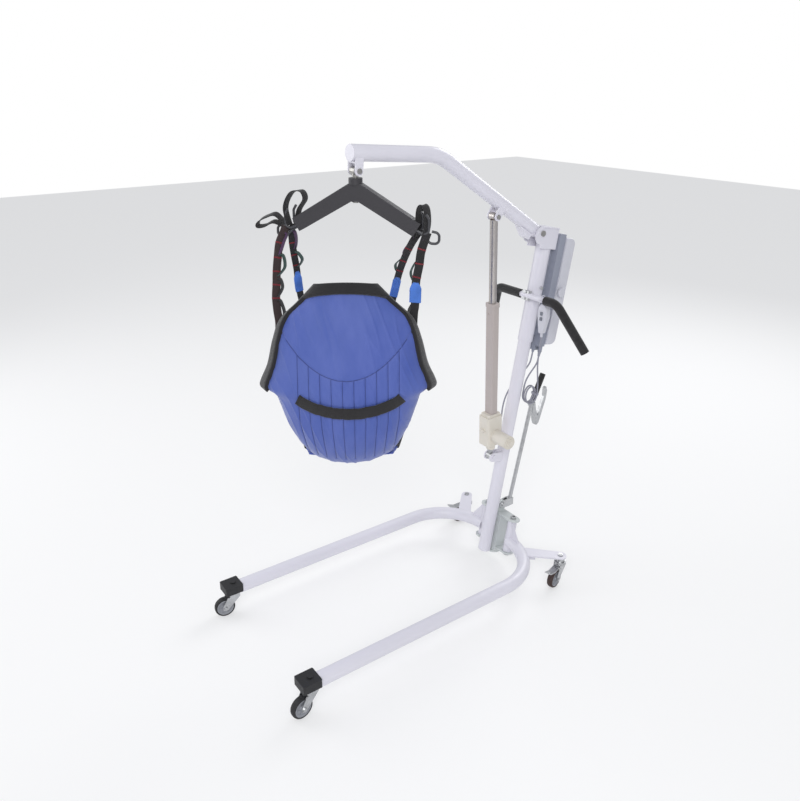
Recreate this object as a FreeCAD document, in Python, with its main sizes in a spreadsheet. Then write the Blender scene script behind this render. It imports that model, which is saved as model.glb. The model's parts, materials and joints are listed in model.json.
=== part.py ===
import FreeCAD, Part
import math
import os
import re
import Sketcher

# Mobile patient lift hoist: a wheeled base with two legs that spread, a mast that leans back, a boom
# raised by an electric actuator, and a spreader bar that carries a padded sling.
# Millimetres. +Z up, the legs point along -Y, the operator stands on the +Y side, floor at Z = 0.

SIZES = {
    # base and legs
    "leg_half": 288.0, "leg_height": 105.0, "tube_od": 50.0, "tube_wall": 2.0,
    "leg_front": 594.0, "pivot_half": 75.0, "pivot_back": 52.5, "barrel_od": 36.0, "pivot_bolt": 16.0,
    "plate_thick": 6.0, "socket_half": 32.0, "socket_back": 78.0, "socket_low": 50.0, "socket_top": 211.0,
    "ear_low": 68.0, "ear_radius": 27.0, "gusset_long": 66.0, "gusset_tall": 72.0,
    "arm_x": 282.0, "arm_y": 496.0, "arm_width": 46.0, "arm_high": 116.0, "arm_root_angle": 62.0,
    # casters
    "wheel_od": 75.0, "wheel_wide": 24.0, "trail": 38.0, "caster_high": 99.0, "fork_gap": 29.0, "leg_room": 19.5,
    "fork_plate": 2.5, "stud": 12.0, "axle": 8.0, "head_od": 46.0, "head_thick": 6.0,
    "stud_ahead": 26.0, "cap_wide": 64.0, "cap_long": 66.0, "cap_high": 30.0, "cap_wall": 3.0,
    "foot_plate": 4.0,
    # mast
    "mast_foot": 344.0, "mast_lean": 10.3, "mast_low": 50.0, "sleeve_low": 941.0, "sleeve_od": 57.0,
    "sleeve_lap": 110.0, "mast_top": 1362.0, "slip": 0.15, "running": 0.05,
    # boom and its pivot
    "pivot_up": 1349.0, "pivot_fore": 52.0, "bracket_half": 30.0, "bracket_plate": 4.0,
    "bracket_round": 33.0, "bracket_low": 1295.0, "boom_rise": 33.1, "boom_bend": 28.9,
    "boom_back": 543.0, "boom_front": 332.0, "boom_curve": 170.0, "boom_bolt": 14.0, "boom_hub": 36.0,
    "clevis_along": 218.0, "clevis_drop": 49.0, "clevis_half": 18.0, "clevis_plate": 4.0,
    "clevis_round": 14.0, "hanger_in": 20.0, "hanger_drop": 51.0, "small_bolt": 10.0,
    # actuator
    "foot_up": 474.0, "foot_fore": 67.0, "act_tilt": 2.35, "act_long": 937.7, "gear_low": 58.0,
    "gear_high": 120.0, "gear_wide": 58.0, "gear_deep": 72.0, "motor_od": 52.0, "motor_reach": 104.0,
    "motor_up": 98.0, "gland_up": 144.0, "case_wide": 40.0, "case_deep": 32.0, "case_top": 625.0, "rod_od": 28.0,
    "rod_in": 360.0, "eye_wide": 26.0,
    # spreader bar and hanger
    "bar_span": 190.0, "bar_drop": 109.0, "bar_deep": 48.0, "bar_thick": 32.0, "bar_wall": 3.0,
    "hub_od": 42.0, "hub_up": 36.0, "bar_below_pin": 56.6, "bar_yaw": 40.6, "stem": 16.0,
    "hook_wire": 8.0,
    # handlebar and handset
    "bar_up": 1116.0, "bar_od": 22.0, "grip_od": 33.0, "bar_corner": 152.0, "bar_out": 95.0,
    "bar_rear": 60.0, "bar_down": 165.0, "bar_curve": 42.0, "grip_left_start": 97.0,
    "grip_right_start": 27.0, "handset_x": 83.0, "handset_wide": 44.0, "handset_long": 112.0,
    "handset_deep": 24.0,
    # control box
    "box_half": 48.0, "box_low": 935.0, "box_high": 1342.0, "back_fore": 34.0, "back_split": 66.0,
    "box_rear": 117.0, "box_round": 24.0,
    # spreading lever
    "lug_up": 248.0, "lug_back": 51.0, "lever_lean": 12.4, "lever_od": 16.0,
    "lever_long": 420.0, "lever_grip": 128.0, "lever_grip_od": 23.0, "catch_tall": 157.0,
    # sling
    "sling_half": 262.0, "sling_deep": 185.0, "sling_tall": 315.0, "sling_centre": 955.0,
    "sling_thick": 8.0, "sling_turn": 15.0, "sling_aside": 33.0, "flap_wide": 150.0, "flap_long": 210.0,
    "handle_sag": 15.0, "strap_wide": 26.0, "strap_thick": 3.0,
    # cables
    "cable_od": 6.0,
}

doc = FreeCAD.newDocument("hoist")
sheet = doc.addObject("Spreadsheet::Sheet", "dims")
for row, (word, number) in enumerate(SIZES.items(), start=1):
    sheet.set("A%d" % row, word)
    sheet.set("B%d" % row, str(number))
    sheet.setAlias("B%d" % row, word)
doc.recompute()


class Sizes:
    """The driving sizes by name, read back from the sheet."""

    def __getattr__(self, word):
        return float(sheet.get(word))


S = Sizes()
V = FreeCAD.Vector
X_AXIS, Y_AXIS, Z_AXIS = V(1, 0, 0), V(0, 1, 0), V(0, 0, 1)
NODES = {}


def turn(axis, degrees):
    return FreeCAD.Rotation(axis, degrees)


def spot(x=0.0, y=0.0, z=0.0, rotation=None):
    return FreeCAD.Placement(V(x, y, z), rotation or FreeCAD.Rotation())


def node(name, thing, place=None):
    """Names a finished sub-part and puts it in its place."""
    thing.Label = name
    if place is not None:
        thing.Placement = place
    NODES[name] = thing
    return thing


def bind(thing, **expressions):
    for prop, expression in expressions.items():
        thing.setExpression(prop, expression)
    return thing


def words(expression):
    """Lets an expression use a size by its bare name."""
    return re.sub(r"[a-z_]+", lambda m: "dims." + m[0] if m[0] in SIZES else m[0], str(expression))


def cylinder(radius, height, place=None):
    thing = doc.addObject("Part::Cylinder", "Cylinder")
    bind(thing, Radius=words(radius), Height=words(height))
    thing.Placement = place or spot()
    return thing


def block(length, width, height, place=None):
    thing = doc.addObject("Part::Box", "Box")
    bind(thing, Length=words(length), Width=words(width), Height=words(height))
    thing.Placement = place or spot()
    return thing


def fuse(*things):
    thing = doc.addObject("Part::MultiFuse", "Fusion")
    thing.Shapes = list(things)
    return thing


def cut(base, *tools):
    thing = doc.addObject("Part::Cut", "Cut")
    thing.Base = base
    thing.Tool = tools[0] if len(tools) == 1 else fuse(*tools)
    return thing


def group(*things):
    """Keeps separate solids side by side in one sub-part."""
    thing = doc.addObject("Part::Compound", "Group")
    thing.Links = list(things)
    return thing


def rounded(thing, radius, wanted):
    """Fillets the edges of thing for which wanted(edge) is true."""
    doc.recompute()
    fillet = doc.addObject("Part::Fillet", "Fillet")
    fillet.Base = thing
    fillet.Edges = [(i, radius, radius) for i, edge in enumerate(thing.Shape.Edges, 1) if wanted(edge)]
    return fillet


def along(axis):
    """An edge test: straight and parallel to axis."""
    def wanted(edge):
        if edge.Curve.TypeId != "Part::GeomLine":
            return False
        return abs(abs(edge.tangentAt(edge.FirstParameter).dot(axis)) - 1) < 1e-6
    return wanted


def solid(shape, name="Solid"):
    thing = doc.addObject("Part::Feature", name)
    thing.Shape = shape
    return thing


# ---- PartDesign helpers ----

def new_body(name):
    return doc.addObject("PartDesign::Body", name)


def new_sketch(body, role, offset=0.0):
    sketch = body.newObject("Sketcher::SketchObject", "Sketch")
    plane = [f for f in body.Origin.OriginFeatures if f.Role == role][0]
    sketch.AttachmentSupport = [(plane, "")]
    sketch.MapMode = "FlatFace"
    sketch.AttachmentOffset = spot(0, 0, offset)
    return sketch


def add_circle(sketch, radius, x=0.0, y=0.0):
    index = sketch.addGeometry(Part.Circle(V(x, y, 0), Z_AXIS, 1.0))
    rule = sketch.addConstraint(Sketcher.Constraint("Radius", index, 1.0))
    sketch.setExpression("Constraints[%d]" % rule, words(radius))


def add_outline(sketch, points):
    ends = points[1:] + points[:1]
    for start, end in zip(points, ends):
        sketch.addGeometry(Part.LineSegment(V(start[0], start[1], 0), V(end[0], end[1], 0)))


def pad(body, sketch, length, midplane=False, reverse=False):
    feature = body.newObject("PartDesign::Pad", "Pad")
    feature.Profile = sketch
    feature.setExpression("Length", words(length))
    feature.Midplane = midplane
    feature.Reversed = reverse
    return feature


def pocket(body, sketch, length, midplane=False, reverse=False):
    feature = body.newObject("PartDesign::Pocket", "Pocket")
    feature.Profile = sketch
    feature.setExpression("Length", words(length))
    feature.Midplane = midplane
    feature.Reversed = reverse
    return feature


def padded(name, role, points, length, midplane=True, offset=0.0):
    body = new_body(name)
    sketch = new_sketch(body, role, offset)
    add_outline(sketch, points)
    pad(body, sketch, length, midplane)
    return body


def swept_tube(name, path_role, path, profile_role, outer, inner):
    """A bent round tube: a ring carried along a path of lines and arcs that starts at the origin."""
    body = new_body(name)
    spine = new_sketch(body, path_role)
    for piece in path:
        spine.addGeometry(piece)
    profile = new_sketch(body, profile_role)
    add_circle(profile, outer)
    add_circle(profile, inner)
    pipe = body.newObject("PartDesign::AdditivePipe", "Pipe")
    pipe.Profile = profile
    doc.recompute()
    pipe.Spine = (spine, ["Edge%d" % (i + 1) for i in range(len(path))])
    return body


# ---- routes of straight runs joined by tangent arcs ----

def route(points, radii):
    """One wire through points, with an arc of radii[i] at the inner point i + 1."""
    points = [V(*p) for p in points]
    edges = []
    start = points[0]
    for i in range(1, len(points) - 1):
        before = (points[i - 1] - points[i]).normalize()
        after = (points[i + 1] - points[i]).normalize()
        half = math.pi / 2 - before.getAngle(after) / 2
        back = radii[i - 1] * math.tan(half)
        one = points[i] + before * back
        two = points[i] + after * back
        middle_way = (before + after).normalize()
        middle = points[i] + middle_way * (radii[i - 1] / math.cos(half) - radii[i - 1])
        if (one - start).Length > 1e-6:
            edges.append(Part.LineSegment(start, one).toShape())
        edges.append(Part.Arc(one, middle, two).toShape())
        start = two
    edges.append(Part.LineSegment(start, points[-1]).toShape())
    return Part.Wire(edges)


def pipe(wire, radius):
    first = wire.Edges[0]
    circle = Part.Circle(wire.OrderedVertexes[0].Point, first.tangentAt(first.FirstParameter), radius)
    ring = Part.Wire(circle.toShape())
    return wire.makePipeShell([ring], True, False)


def loose_radii(points):
    """The largest tangent arcs that the runs allow: 0.45 of the shorter run over tan(half turn)."""
    out = []
    points = [V(*p) for p in points]
    for a, b, c in zip(points, points[1:], points[2:]):
        half = (b - a).getAngle(c - b) / 2
        out.append(0.45 * min((b - a).Length, (c - b).Length) / math.tan(half))
    return out


# ---- frames that the sub-parts are drawn in ----

LEAN = math.radians(S.mast_lean)


def on_mast(up=0.0, back=0.0, x=0.0):
    """A place given by its height along the mast and its distance behind the mast's axis."""
    y = S.mast_foot + up * math.sin(LEAN) + back * math.cos(LEAN)
    z = up * math.cos(LEAN) - back * math.sin(LEAN)
    return V(x, y, z)


MAST = spot(0, S.mast_foot, 0, turn(X_AXIS, -S.mast_lean))

# the leg pivots cross the height of the leg tubes at this point
PIVOT_UP = (S.leg_height + S.pivot_back * math.sin(LEAN)) / math.cos(LEAN)
PIVOT_Y = on_mast(PIVOT_UP, S.pivot_back).y

BOOM_PIVOT = on_mast(S.pivot_up, -S.pivot_fore)
BOOM = FreeCAD.Placement(BOOM_PIVOT, turn(X_AXIS, -S.boom_rise))
RISE = math.radians(S.boom_rise)
TIP_RISE = math.radians(S.boom_rise - S.boom_bend)


def on_boom_tip(back, drop):
    """A point of the boom's front part: a distance back from its end and below its axis."""
    corner = BOOM_PIVOT + V(0, -math.cos(RISE), math.sin(RISE)) * S.boom_back
    ahead = V(0, -math.cos(TIP_RISE), math.sin(TIP_RISE))
    below = V(0, -math.sin(TIP_RISE), -math.cos(TIP_RISE))
    return corner + ahead * (S.boom_front - back) + below * drop


HANGER_PIN = on_boom_tip(S.hanger_in, S.hanger_drop)
BAR_CENTRE = HANGER_PIN - V(0, 0, S.bar_below_pin)
BAR = FreeCAD.Placement(BAR_CENTRE, turn(Z_AXIS, S.bar_yaw))
FOOT_PIN = on_mast(S.foot_up, -S.foot_fore)
ACTUATOR = FreeCAD.Placement(FOOT_PIN, turn(X_AXIS, S.act_tilt))


# ---- base: socket with ear plates, pivot bolts ----

def base_frame():
    wide = "2 * socket_half"
    front = S.tube_od / 2
    box = block(wide, "socket_back - tube_od / 2", "socket_top - socket_low",
                spot(-S.socket_half, front, S.socket_low))
    hollow = block("2 * socket_half - 6", "socket_back - tube_od / 2 - 6", "socket_top - socket_low - 6",
                   spot(-S.socket_half + 3, front + 3, S.socket_low - 1))
    pieces = []
    for low in (S.ear_low, S.socket_top):
        pieces.append(block("2 * pivot_half", "2 * ear_radius", "plate_thick",
                            spot(-S.pivot_half, S.pivot_back - S.ear_radius, low)))
        for x in (-S.pivot_half, S.pivot_half):
            pieces.append(cylinder("ear_radius", "plate_thick", spot(x, S.pivot_back, low)))
    foot = cylinder("socket_half", "plate_thick", spot(0, S.socket_back - S.socket_half, S.socket_low - S.plate_thick))
    lug = block("10", "34", "lug_up - socket_top - plate_thick",
                spot(-5, S.lug_back - 17, S.socket_top + S.plate_thick))
    lug_round = cylinder("17", "10", spot(-5, S.lug_back, S.lug_up, turn(Y_AXIS, 90)))
    holes = [cylinder("pivot_bolt / 2 + slip", "300", spot(x, S.pivot_back, 0)) for x in
             (-S.pivot_half, S.pivot_half)]
    holes.append(cylinder("small_bolt / 2 + running", "40", spot(-20, S.lug_back, S.lug_up, turn(Y_AXIS, 90))))
    body = cut(fuse(box, foot, lug, lug_round, *pieces), hollow, *holes)
    return node("base_frame", body, MAST)


def leg_pivot_bolts():
    """A socket-head shoulder bolt through both ear plates and the leg's barrel, with its nut."""
    pieces = []
    low = S.ear_low
    top = S.socket_top + S.plate_thick
    for x in (-S.pivot_half, S.pivot_half):
        shank = cylinder("pivot_bolt / 2", "socket_top - ear_low + 2 * plate_thick + 12",
                         spot(x, S.pivot_back, low - S.plate_thick - 6))
        head = cylinder("pivot_bolt * 0.75", "9", spot(x, S.pivot_back, top))
        recess = doc.addObject("Part::Prism", "Recess")
        bind(recess, Circumradius=words("pivot_bolt * 0.45"), Height="7")
        recess.Placement = spot(x, S.pivot_back, top + 3)
        nut = doc.addObject("Part::Prism", "Nut")
        bind(nut, Circumradius=words("pivot_bolt * 0.85"), Height="11")
        nut.Placement = spot(x, S.pivot_back, low - 11)
        pieces.append(cut(fuse(shank, head, nut), recess))
    return node("leg_pivot_bolts", group(*pieces), MAST)


# ---- legs ----

SWIVEL_FRONT = -S.leg_front - S.stud_ahead


def leg(side):
    """A leg weldment: bent tube, pivot barrel, gusset, rear caster arm and front caster plate."""
    sign = 1 if side == "left" else -1
    bend = S.leg_half - S.pivot_half
    bend_y = PIVOT_Y - bend
    straight = S.leg_front + bend_y
    middle = math.radians(45)
    path = [
        Part.LineSegment(V(0, 0, 0), V(0, straight, 0)),
        Part.Arc(V(0, straight, 0),
                 V(-sign * bend * (1 - math.cos(middle)), straight + bend * math.sin(middle), 0),
                 V(-sign * bend, straight + bend, 0)),
    ]
    tube = swept_tube("LegTube", "XY_Plane", path, "XZ_Plane", "tube_od / 2", "tube_od / 2 - tube_wall")
    tube.Placement = spot(sign * S.leg_half, -S.leg_front, S.leg_height)
    barrel_low = S.ear_low + S.plate_thick + 0.4
    barrel = cylinder("barrel_od / 2", "socket_top - ear_low - plate_thick - 0.8")
    barrel.Placement = MAST * spot(sign * S.pivot_half, S.pivot_back, barrel_low)
    bore = cylinder("pivot_bolt / 2 + running", "300")
    bore.Placement = MAST * spot(sign * S.pivot_half, S.pivot_back, 0)
    # triangular gusset between the barrel and the top of the tube, on the line of the bend
    gusset = padded("Gusset", "XZ_Plane", [(10, 0), (S.gusset_long, 0), (S.gusset_long, 6), (16, S.gusset_tall),
                                           (10, S.gusset_tall)], "5")
    top = S.leg_height + S.tube_od / 2 - 7
    gusset.Placement = spot(sign * S.pivot_half, PIVOT_Y + 3, top, turn(Z_AXIS, -10 if sign > 0 else 190))
    # rear arm: a flat plate with a round end over the rear caster
    angle = math.radians(S.arm_root_angle)
    root = V(sign * (S.pivot_half + bend * math.cos(angle)), bend_y + bend * math.sin(angle), 0)
    tip = V(sign * S.arm_x, S.arm_y, 0)
    way = math.degrees(math.atan2(tip.y - root.y, tip.x - root.x))
    reach = (tip - root).Length
    half = S.arm_width / 2
    plate = padded("ArmPlate", "XY_Plane", [(12, -half - 4), (reach, -half), (reach, half), (12, half + 4)],
                   "plate_thick", False)
    plate.Placement = spot(root.x, root.y, S.arm_high, turn(Z_AXIS, way))
    end = cylinder("arm_width / 2", "plate_thick", spot(tip.x, tip.y, S.arm_high))
    rib = block("30", "6", "26", spot(0, 0, 0))
    rib.Placement = spot(root.x, root.y, S.arm_high - 26, turn(Z_AXIS, way)) * spot(24, -3, 0)
    stud_hole = cylinder("stud / 2", "40", spot(tip.x, tip.y, S.arm_high - 20))
    # plate that carries the front caster
    foot = block("cap_wide - 2 * cap_wall - 2", "cap_long - 6", "foot_plate",
                 spot(sign * S.leg_half - S.cap_wide / 2 + S.cap_wall + 1, -S.leg_front - S.cap_long + 6,
                      S.caster_high))
    tongue = block("tube_od - 8", "30", "foot_plate",
                   spot(sign * S.leg_half - S.tube_od / 2 + 4, -S.leg_front - 2, S.caster_high))
    front_hole = cylinder("stud / 2", "40", spot(sign * S.leg_half, SWIVEL_FRONT, S.caster_high - 20))
    body = cut(fuse(tube, barrel, gusset, plate, end, rib, foot, tongue), bore, stud_hole, front_hole)
    return node("leg_" + side, body)


def leg_cap(side):
    """The black plastic cap over the front caster plate, with a low boss over the stud."""
    sign = 1 if side == "left" else -1
    low = S.caster_high + S.foot_plate - 2
    x = sign * S.leg_half
    y = -S.leg_front - S.cap_long
    outer = rounded(block("cap_wide", "cap_long", "cap_high", spot(x - S.cap_wide / 2, y, low)), 4,
                    along(Z_AXIS))
    inner = block("cap_wide - 2 * cap_wall", "cap_long - cap_wall", "cap_high - cap_wall",
                  spot(x - S.cap_wide / 2 + S.cap_wall, y + S.cap_wall, low - 0.01))
    boss = cylinder("9", "cap_high + 2", spot(x, SWIVEL_FRONT, low + 2))
    boss_room = cylinder("stud / 2 + 0.2", "cap_high", spot(x, SWIVEL_FRONT, low - 0.01))
    shell = cut(fuse(cut(outer, inner), boss), boss_room)
    return node("leg_cap_" + side, shell)


# ---- casters ----

CASTERS = {
    "front_left": (S.leg_half, SWIVEL_FRONT, S.caster_high, 8.0, False),
    "front_right": (-S.leg_half, SWIVEL_FRONT, S.caster_high, -10.0, False),
    "rear_left": (S.arm_x, S.arm_y, S.arm_high, 14.0, True),
    "rear_right": (-S.arm_x, S.arm_y, S.arm_high, -8.0, True),
}


def caster_place(corner):
    x, y, _, yaw, _ = CASTERS[corner]
    return spot(x, y, 0, turn(Z_AXIS, yaw))


def caster_studs(side):
    """The fixed halves of the swivels on one leg: stud, nut and bearing plate, with a spacer at the back."""
    studs = []
    for end in ("front", "rear"):
        x, y, seat, _, _ = CASTERS[end + "_" + side]
        plate = cylinder("head_od / 2", "head_thick", spot(x, y, S.caster_high - S.head_thick))
        stud = cylinder("stud / 2", "%s - caster_high + 34" % seat, spot(x, y, S.caster_high - 22))
        nut = doc.addObject("Part::Prism", "Nut")
        bind(nut, Circumradius=words("stud * 0.9"), Height="7")
        nut.Placement = spot(x, y, S.caster_high - 22)
        pieces = [plate, stud, nut]
        if seat > S.caster_high:
            pieces.append(cylinder("head_od / 2 - 5", "arm_high - caster_high", spot(x, y, S.caster_high)))
            pieces.append(cylinder("stud * 0.85", "5", spot(x, y, seat + S.plate_thick)))
        studs.append(fuse(*pieces))
    return node("caster_studs_" + side, group(*studs))


def caster_fork(corner):
    """Pressed steel fork: a round crown and two cheeks down to the axle, with the axle and its nuts."""
    crown_top = S.caster_high - S.head_thick - 0.4
    radius = S.wheel_od / 2
    wide = S.fork_gap + 2 * S.fork_plate
    cheeks = [(19, crown_top), (-20, crown_top), (-S.trail - 9, radius + 8), (-S.trail - 9, radius - 8),
              (-S.trail + 9, radius - 8), (19, crown_top - 14)]
    body = new_body("Fork")
    side = new_sketch(body, "YZ_Plane")
    add_outline(side, cheeks)
    pad(body, side, "fork_gap + 2 * fork_plate", True)
    room = new_sketch(body, "YZ_Plane")
    low, high = 0, crown_top - S.fork_plate
    add_outline(room, [(60, low), (60, high), (-90, high), (-90, low)])
    pocket(body, room, "fork_gap", True)
    crown = new_sketch(body, "XY_Plane", crown_top - 5)
    add_circle(crown, "head_od / 2")
    pad(body, crown, "5")
    stud_hole = new_sketch(body, "XY_Plane", crown_top + 1)
    add_circle(stud_hole, "stud / 2 + running")
    pocket(body, stud_hole, "20")
    swing = cut(cylinder("trail * 2", "30", spot(z=S.caster_high - S.leg_room)),
                cylinder("head_od / 2 + 2", "40", spot(z=S.caster_high - S.leg_room - 5)))
    axle = cylinder("axle / 2", "fork_gap + 2 * fork_plate + 8",
                    spot(-wide / 2 - 4, -S.trail, radius, turn(Y_AXIS, 90)))
    nuts = []
    for x in (-wide / 2 - 5, wide / 2):
        nut = doc.addObject("Part::Prism", "Nut")
        bind(nut, Circumradius=words("axle * 0.9"), Height="5")
        nut.Placement = spot(x, -S.trail, radius, turn(Y_AXIS, 90))
        nuts.append(nut)
    return node(corner + "_fork", cut(fuse(body, axle, *nuts), swing), caster_place(corner))


def caster_wheel(corner):
    """Hub with a raised boss and a rubber tyre with rounded shoulders, as two solids."""
    radius = S.wheel_od / 2
    half = S.wheel_wide / 2
    tread = 6.0
    place = spot(0, -S.trail, radius, turn(Y_AXIS, 90))
    hub = new_body("Hub")
    profile = new_sketch(hub, "XZ_Plane")
    bore = S.axle / 2 + S.running
    rim = radius - tread
    add_outline(profile, [(bore, -half - 1.5), (bore + 5, -half - 1.5), (bore + 6, -half + 4), (rim - 5, -half + 4),
                          (rim - 4, -half + 1), (rim, -half + 1), (rim, half - 1), (rim - 4, half - 1),
                          (rim - 5, half - 4), (bore + 6, half - 4), (bore + 5, half + 1.5), (bore, half + 1.5)])
    revolve(hub, profile)
    hub.Placement = place
    tyre = new_body("Tyre")
    ring = new_sketch(tyre, "XZ_Plane")
    add_outline(ring, [(rim, -half + 1), (rim, half - 1), (rim + 1.5, half), (radius - 2, half - 2.5), (radius, half - 6),
                       (radius, -half + 6), (radius - 2, -half + 2.5), (rim + 1.5, -half)])
    revolve(tyre, ring)
    tyre.Placement = place
    return node(corner + "_wheel", group(hub, tyre), caster_place(corner))


def revolve(body, sketch):
    feature = body.newObject("PartDesign::Revolution", "Turned")
    feature.Profile = sketch
    feature.ReferenceAxis = (sketch, ["V_Axis"])
    feature.Angle = 360
    return feature


def brake_pedal(corner):
    """A foot pedal hinged on the fork's cheeks above the wheel, with a tongue that presses the tyre."""
    half = S.fork_gap / 2 - 1.5
    points = [(-18, 84), (-62, 80), (-92, 90), (-92, 86), (-62, 76.5), (-20, 79.5)]
    plate = padded("Pedal", "YZ_Plane", points, "2 * %s" % half)
    pin = cylinder("3", "fork_gap - 0.2", spot(-S.fork_gap / 2 + 0.1, -20, 82, turn(Y_AXIS, 90)))
    return node(corner + "_brake", fuse(plate, pin), caster_place(corner))


# ---- mast ----

def mast_lower():
    tube = cut(cylinder("tube_od / 2", "sleeve_low + sleeve_lap - mast_low", spot(0, 0, S.mast_low)),
               cylinder("tube_od / 2 - tube_wall", "2000", spot(0, 0, S.mast_low + 4)))
    foot = rounded(tube, 6, lambda e: e.Curve.TypeId == "Part::GeomCircle"
                   and abs(e.Curve.Radius - S.tube_od / 2) < 0.01 and e.Curve.Center.z < S.mast_low + 1)
    return node("mast_lower", foot, MAST)


def mast_upper():
    tube = cut(cylinder("sleeve_od / 2", "mast_top - sleeve_low", spot(0, 0, S.sleeve_low)),
               cylinder("tube_od / 2 + slip", "2000", spot(0, 0, S.sleeve_low - 1)))
    return node("mast_upper", tube, MAST)


def mast_bracket():
    """A folded steel head on the mast: two ears that hold the boom's pivot, and a flange on top."""
    fore, half = -S.pivot_fore, S.bracket_half
    high = S.mast_top + 8
    ears = []
    for x in (-half - S.bracket_plate, half):
        plate = block("bracket_plate", "30 + pivot_fore", "mast_top + 8 - bracket_low",
                      spot(x, fore, S.bracket_low))
        lobe = cylinder("bracket_round", "bracket_plate", spot(x, fore, S.pivot_up - 8, turn(Y_AXIS, 90)))
        ears.append(fuse(plate, lobe))
    back = block("2 * bracket_half", "4", "mast_top + 8 - bracket_low", spot(-half, S.sleeve_od / 2 + 0.2, S.bracket_low))
    flange = block("2 * bracket_half + 2 * bracket_plate + 6", "84", "4", spot(-half - S.bracket_plate - 3, -54, high))
    hole = cylinder("boom_bolt / 2", "200", spot(-100, fore, S.pivot_up, turn(Y_AXIS, 90)))
    body = cut(fuse(back, flange, *ears), hole)
    return node("mast_bracket", body, MAST)


def boom_pivot_bolt():
    half = S.bracket_half + S.bracket_plate
    shank = cylinder("boom_bolt / 2", "2 * bracket_half + 2 * bracket_plate + 10", spot(-half - 10, 0, 0, turn(Y_AXIS, 90)))
    head = cylinder("boom_bolt * 0.75", "5", spot(half, 0, 0, turn(Y_AXIS, 90)))
    nut = doc.addObject("Part::Prism", "Nut")
    bind(nut, Circumradius=words("boom_bolt * 0.85"), Height="9")
    nut.Placement = spot(-half - 9, 0, 0, turn(Y_AXIS, 90))
    return node("boom_pivot_bolt", fuse(shank, head, nut), FreeCAD.Placement(BOOM_PIVOT, turn(X_AXIS, 0)))


# ---- boom ----

def boom_tube():
    """The bent boom tube with its cross tube at the pivot, actuator ears and hanger ears."""
    bend = math.radians(S.boom_bend)
    back = S.boom_curve * math.tan(bend / 2)
    start = 16.0
    flat = S.boom_back - back - start
    path = [
        Part.LineSegment(V(0, 0, 0), V(-flat, 0, 0)),
        Part.Arc(V(-flat, 0, 0),
                 V(-flat - S.boom_curve * math.sin(bend / 2), -S.boom_curve * (1 - math.cos(bend / 2)), 0),
                 V(-flat - S.boom_curve * math.sin(bend), -S.boom_curve * (1 - math.cos(bend)), 0)),
    ]
    bent = path[-1].EndPoint
    rest = S.boom_front - back
    path.append(Part.LineSegment(bent, bent + V(-math.cos(bend), -math.sin(bend), 0) * rest))
    tube = swept_tube("BoomTube", "YZ_Plane", path, "XZ_Plane", "tube_od / 2", "tube_od / 2 - tube_wall")
    tube.Placement = spot(0, -start, 0)
    hub = cylinder("boom_hub / 2", "2 * bracket_half - 1", spot(-S.bracket_half + 0.5, 0, 0, turn(Y_AXIS, 90)))
    hub_bore = cylinder("boom_bolt / 2 + running", "200", spot(-100, 0, 0, turn(Y_AXIS, 90)))
    plates = ears(V(0, -S.clevis_along, 0), S.clevis_drop)
    holes = pin_holes(V(0, -S.clevis_along, -S.clevis_drop))
    body = cut(fuse(tube, hub, *plates), hub_bore, *holes)
    return node("boom_tube", body, BOOM)


def ears(root, drop):
    """Two ears that hang from a tube and hold a cross bolt."""
    pieces = []
    for x in (-S.clevis_half - S.clevis_plate, S.clevis_half):
        plate = block("clevis_plate", "2 * clevis_round", str(drop - 8),
                      spot(root.x + x, root.y - S.clevis_round, root.z - drop))
        end = cylinder("clevis_round", "clevis_plate", spot(root.x + x, root.y, root.z - drop, turn(Y_AXIS, 90)))
        pieces += [plate, end]
    return pieces


def pin_holes(centre):
    return [cylinder("small_bolt / 2", "100", spot(centre.x - 50, centre.y, centre.z, turn(Y_AXIS, 90)))]


def hanger_clevis():
    """The two ears under the boom's end, joined by a saddle that is welded to the tube."""
    place = FreeCAD.Placement(on_boom_tip(S.hanger_in, 0), turn(X_AXIS, -(S.boom_rise - S.boom_bend)))
    inner = S.clevis_half
    saddle = block("2 * clevis_half", "2 * clevis_round", "5", spot(-inner, -S.clevis_round, -S.tube_od / 2 - 4.5))
    tube_room = cylinder("tube_od / 2 + 0.1", "200", spot(0, 100, 0, turn(X_AXIS, 90)))
    plates = ears(V(0, 0, 0), S.hanger_drop)
    body = cut(fuse(saddle, *plates), tube_room, *pin_holes(V(0, 0, -S.hanger_drop)))
    return node("hanger_clevis", body, place)


def boom_cap():
    """The flat plastic plug in the boom's front end."""
    place = FreeCAD.Placement(on_boom_tip(0, 0), turn(X_AXIS, 90 - (S.boom_rise - S.boom_bend)))
    disc = cylinder("tube_od / 2", "2.5", spot(0, 0, 0))
    neck = cylinder("tube_od / 2 - tube_wall - slip", "14", spot(0, 0, -14))
    return node("boom_cap", fuse(disc, neck), place)


def boom_saddle():
    """The pressed wedge under the boom's root that meets the mast when the boom is at its lowest."""
    points = [(-30, -S.tube_od / 2 + 3), (-98, -S.tube_od / 2 + 3), (-52, -S.tube_od / 2 - 18), (-34, -S.tube_od / 2 - 18)]
    wedge = padded("Wedge", "YZ_Plane", points, "34")
    tube_room = cylinder("tube_od / 2 + 0.1", "200", spot(0, 20, 0, turn(X_AXIS, 90)))
    return node("boom_saddle", cut(wedge, tube_room), BOOM)


def clevis_screws(name, place, gap):
    """Two shoulder screws, one in each ear, that hold an eye between them."""
    outer = S.clevis_half + S.clevis_plate
    pieces = []
    for side in (-1, 1):
        long = outer - gap
        start = gap if side > 0 else -outer
        shank = cylinder("small_bolt / 2", str(long), spot(start, 0, 0, turn(Y_AXIS, 90)))
        head = cylinder("small_bolt * 0.8", "4", spot(outer if side > 0 else -outer - 4, 0, 0, turn(Y_AXIS, 90)))
        pieces.append(fuse(shank, head))
    return node(name, group(*pieces), place)


# ---- hanger and spreader bar ----

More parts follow.
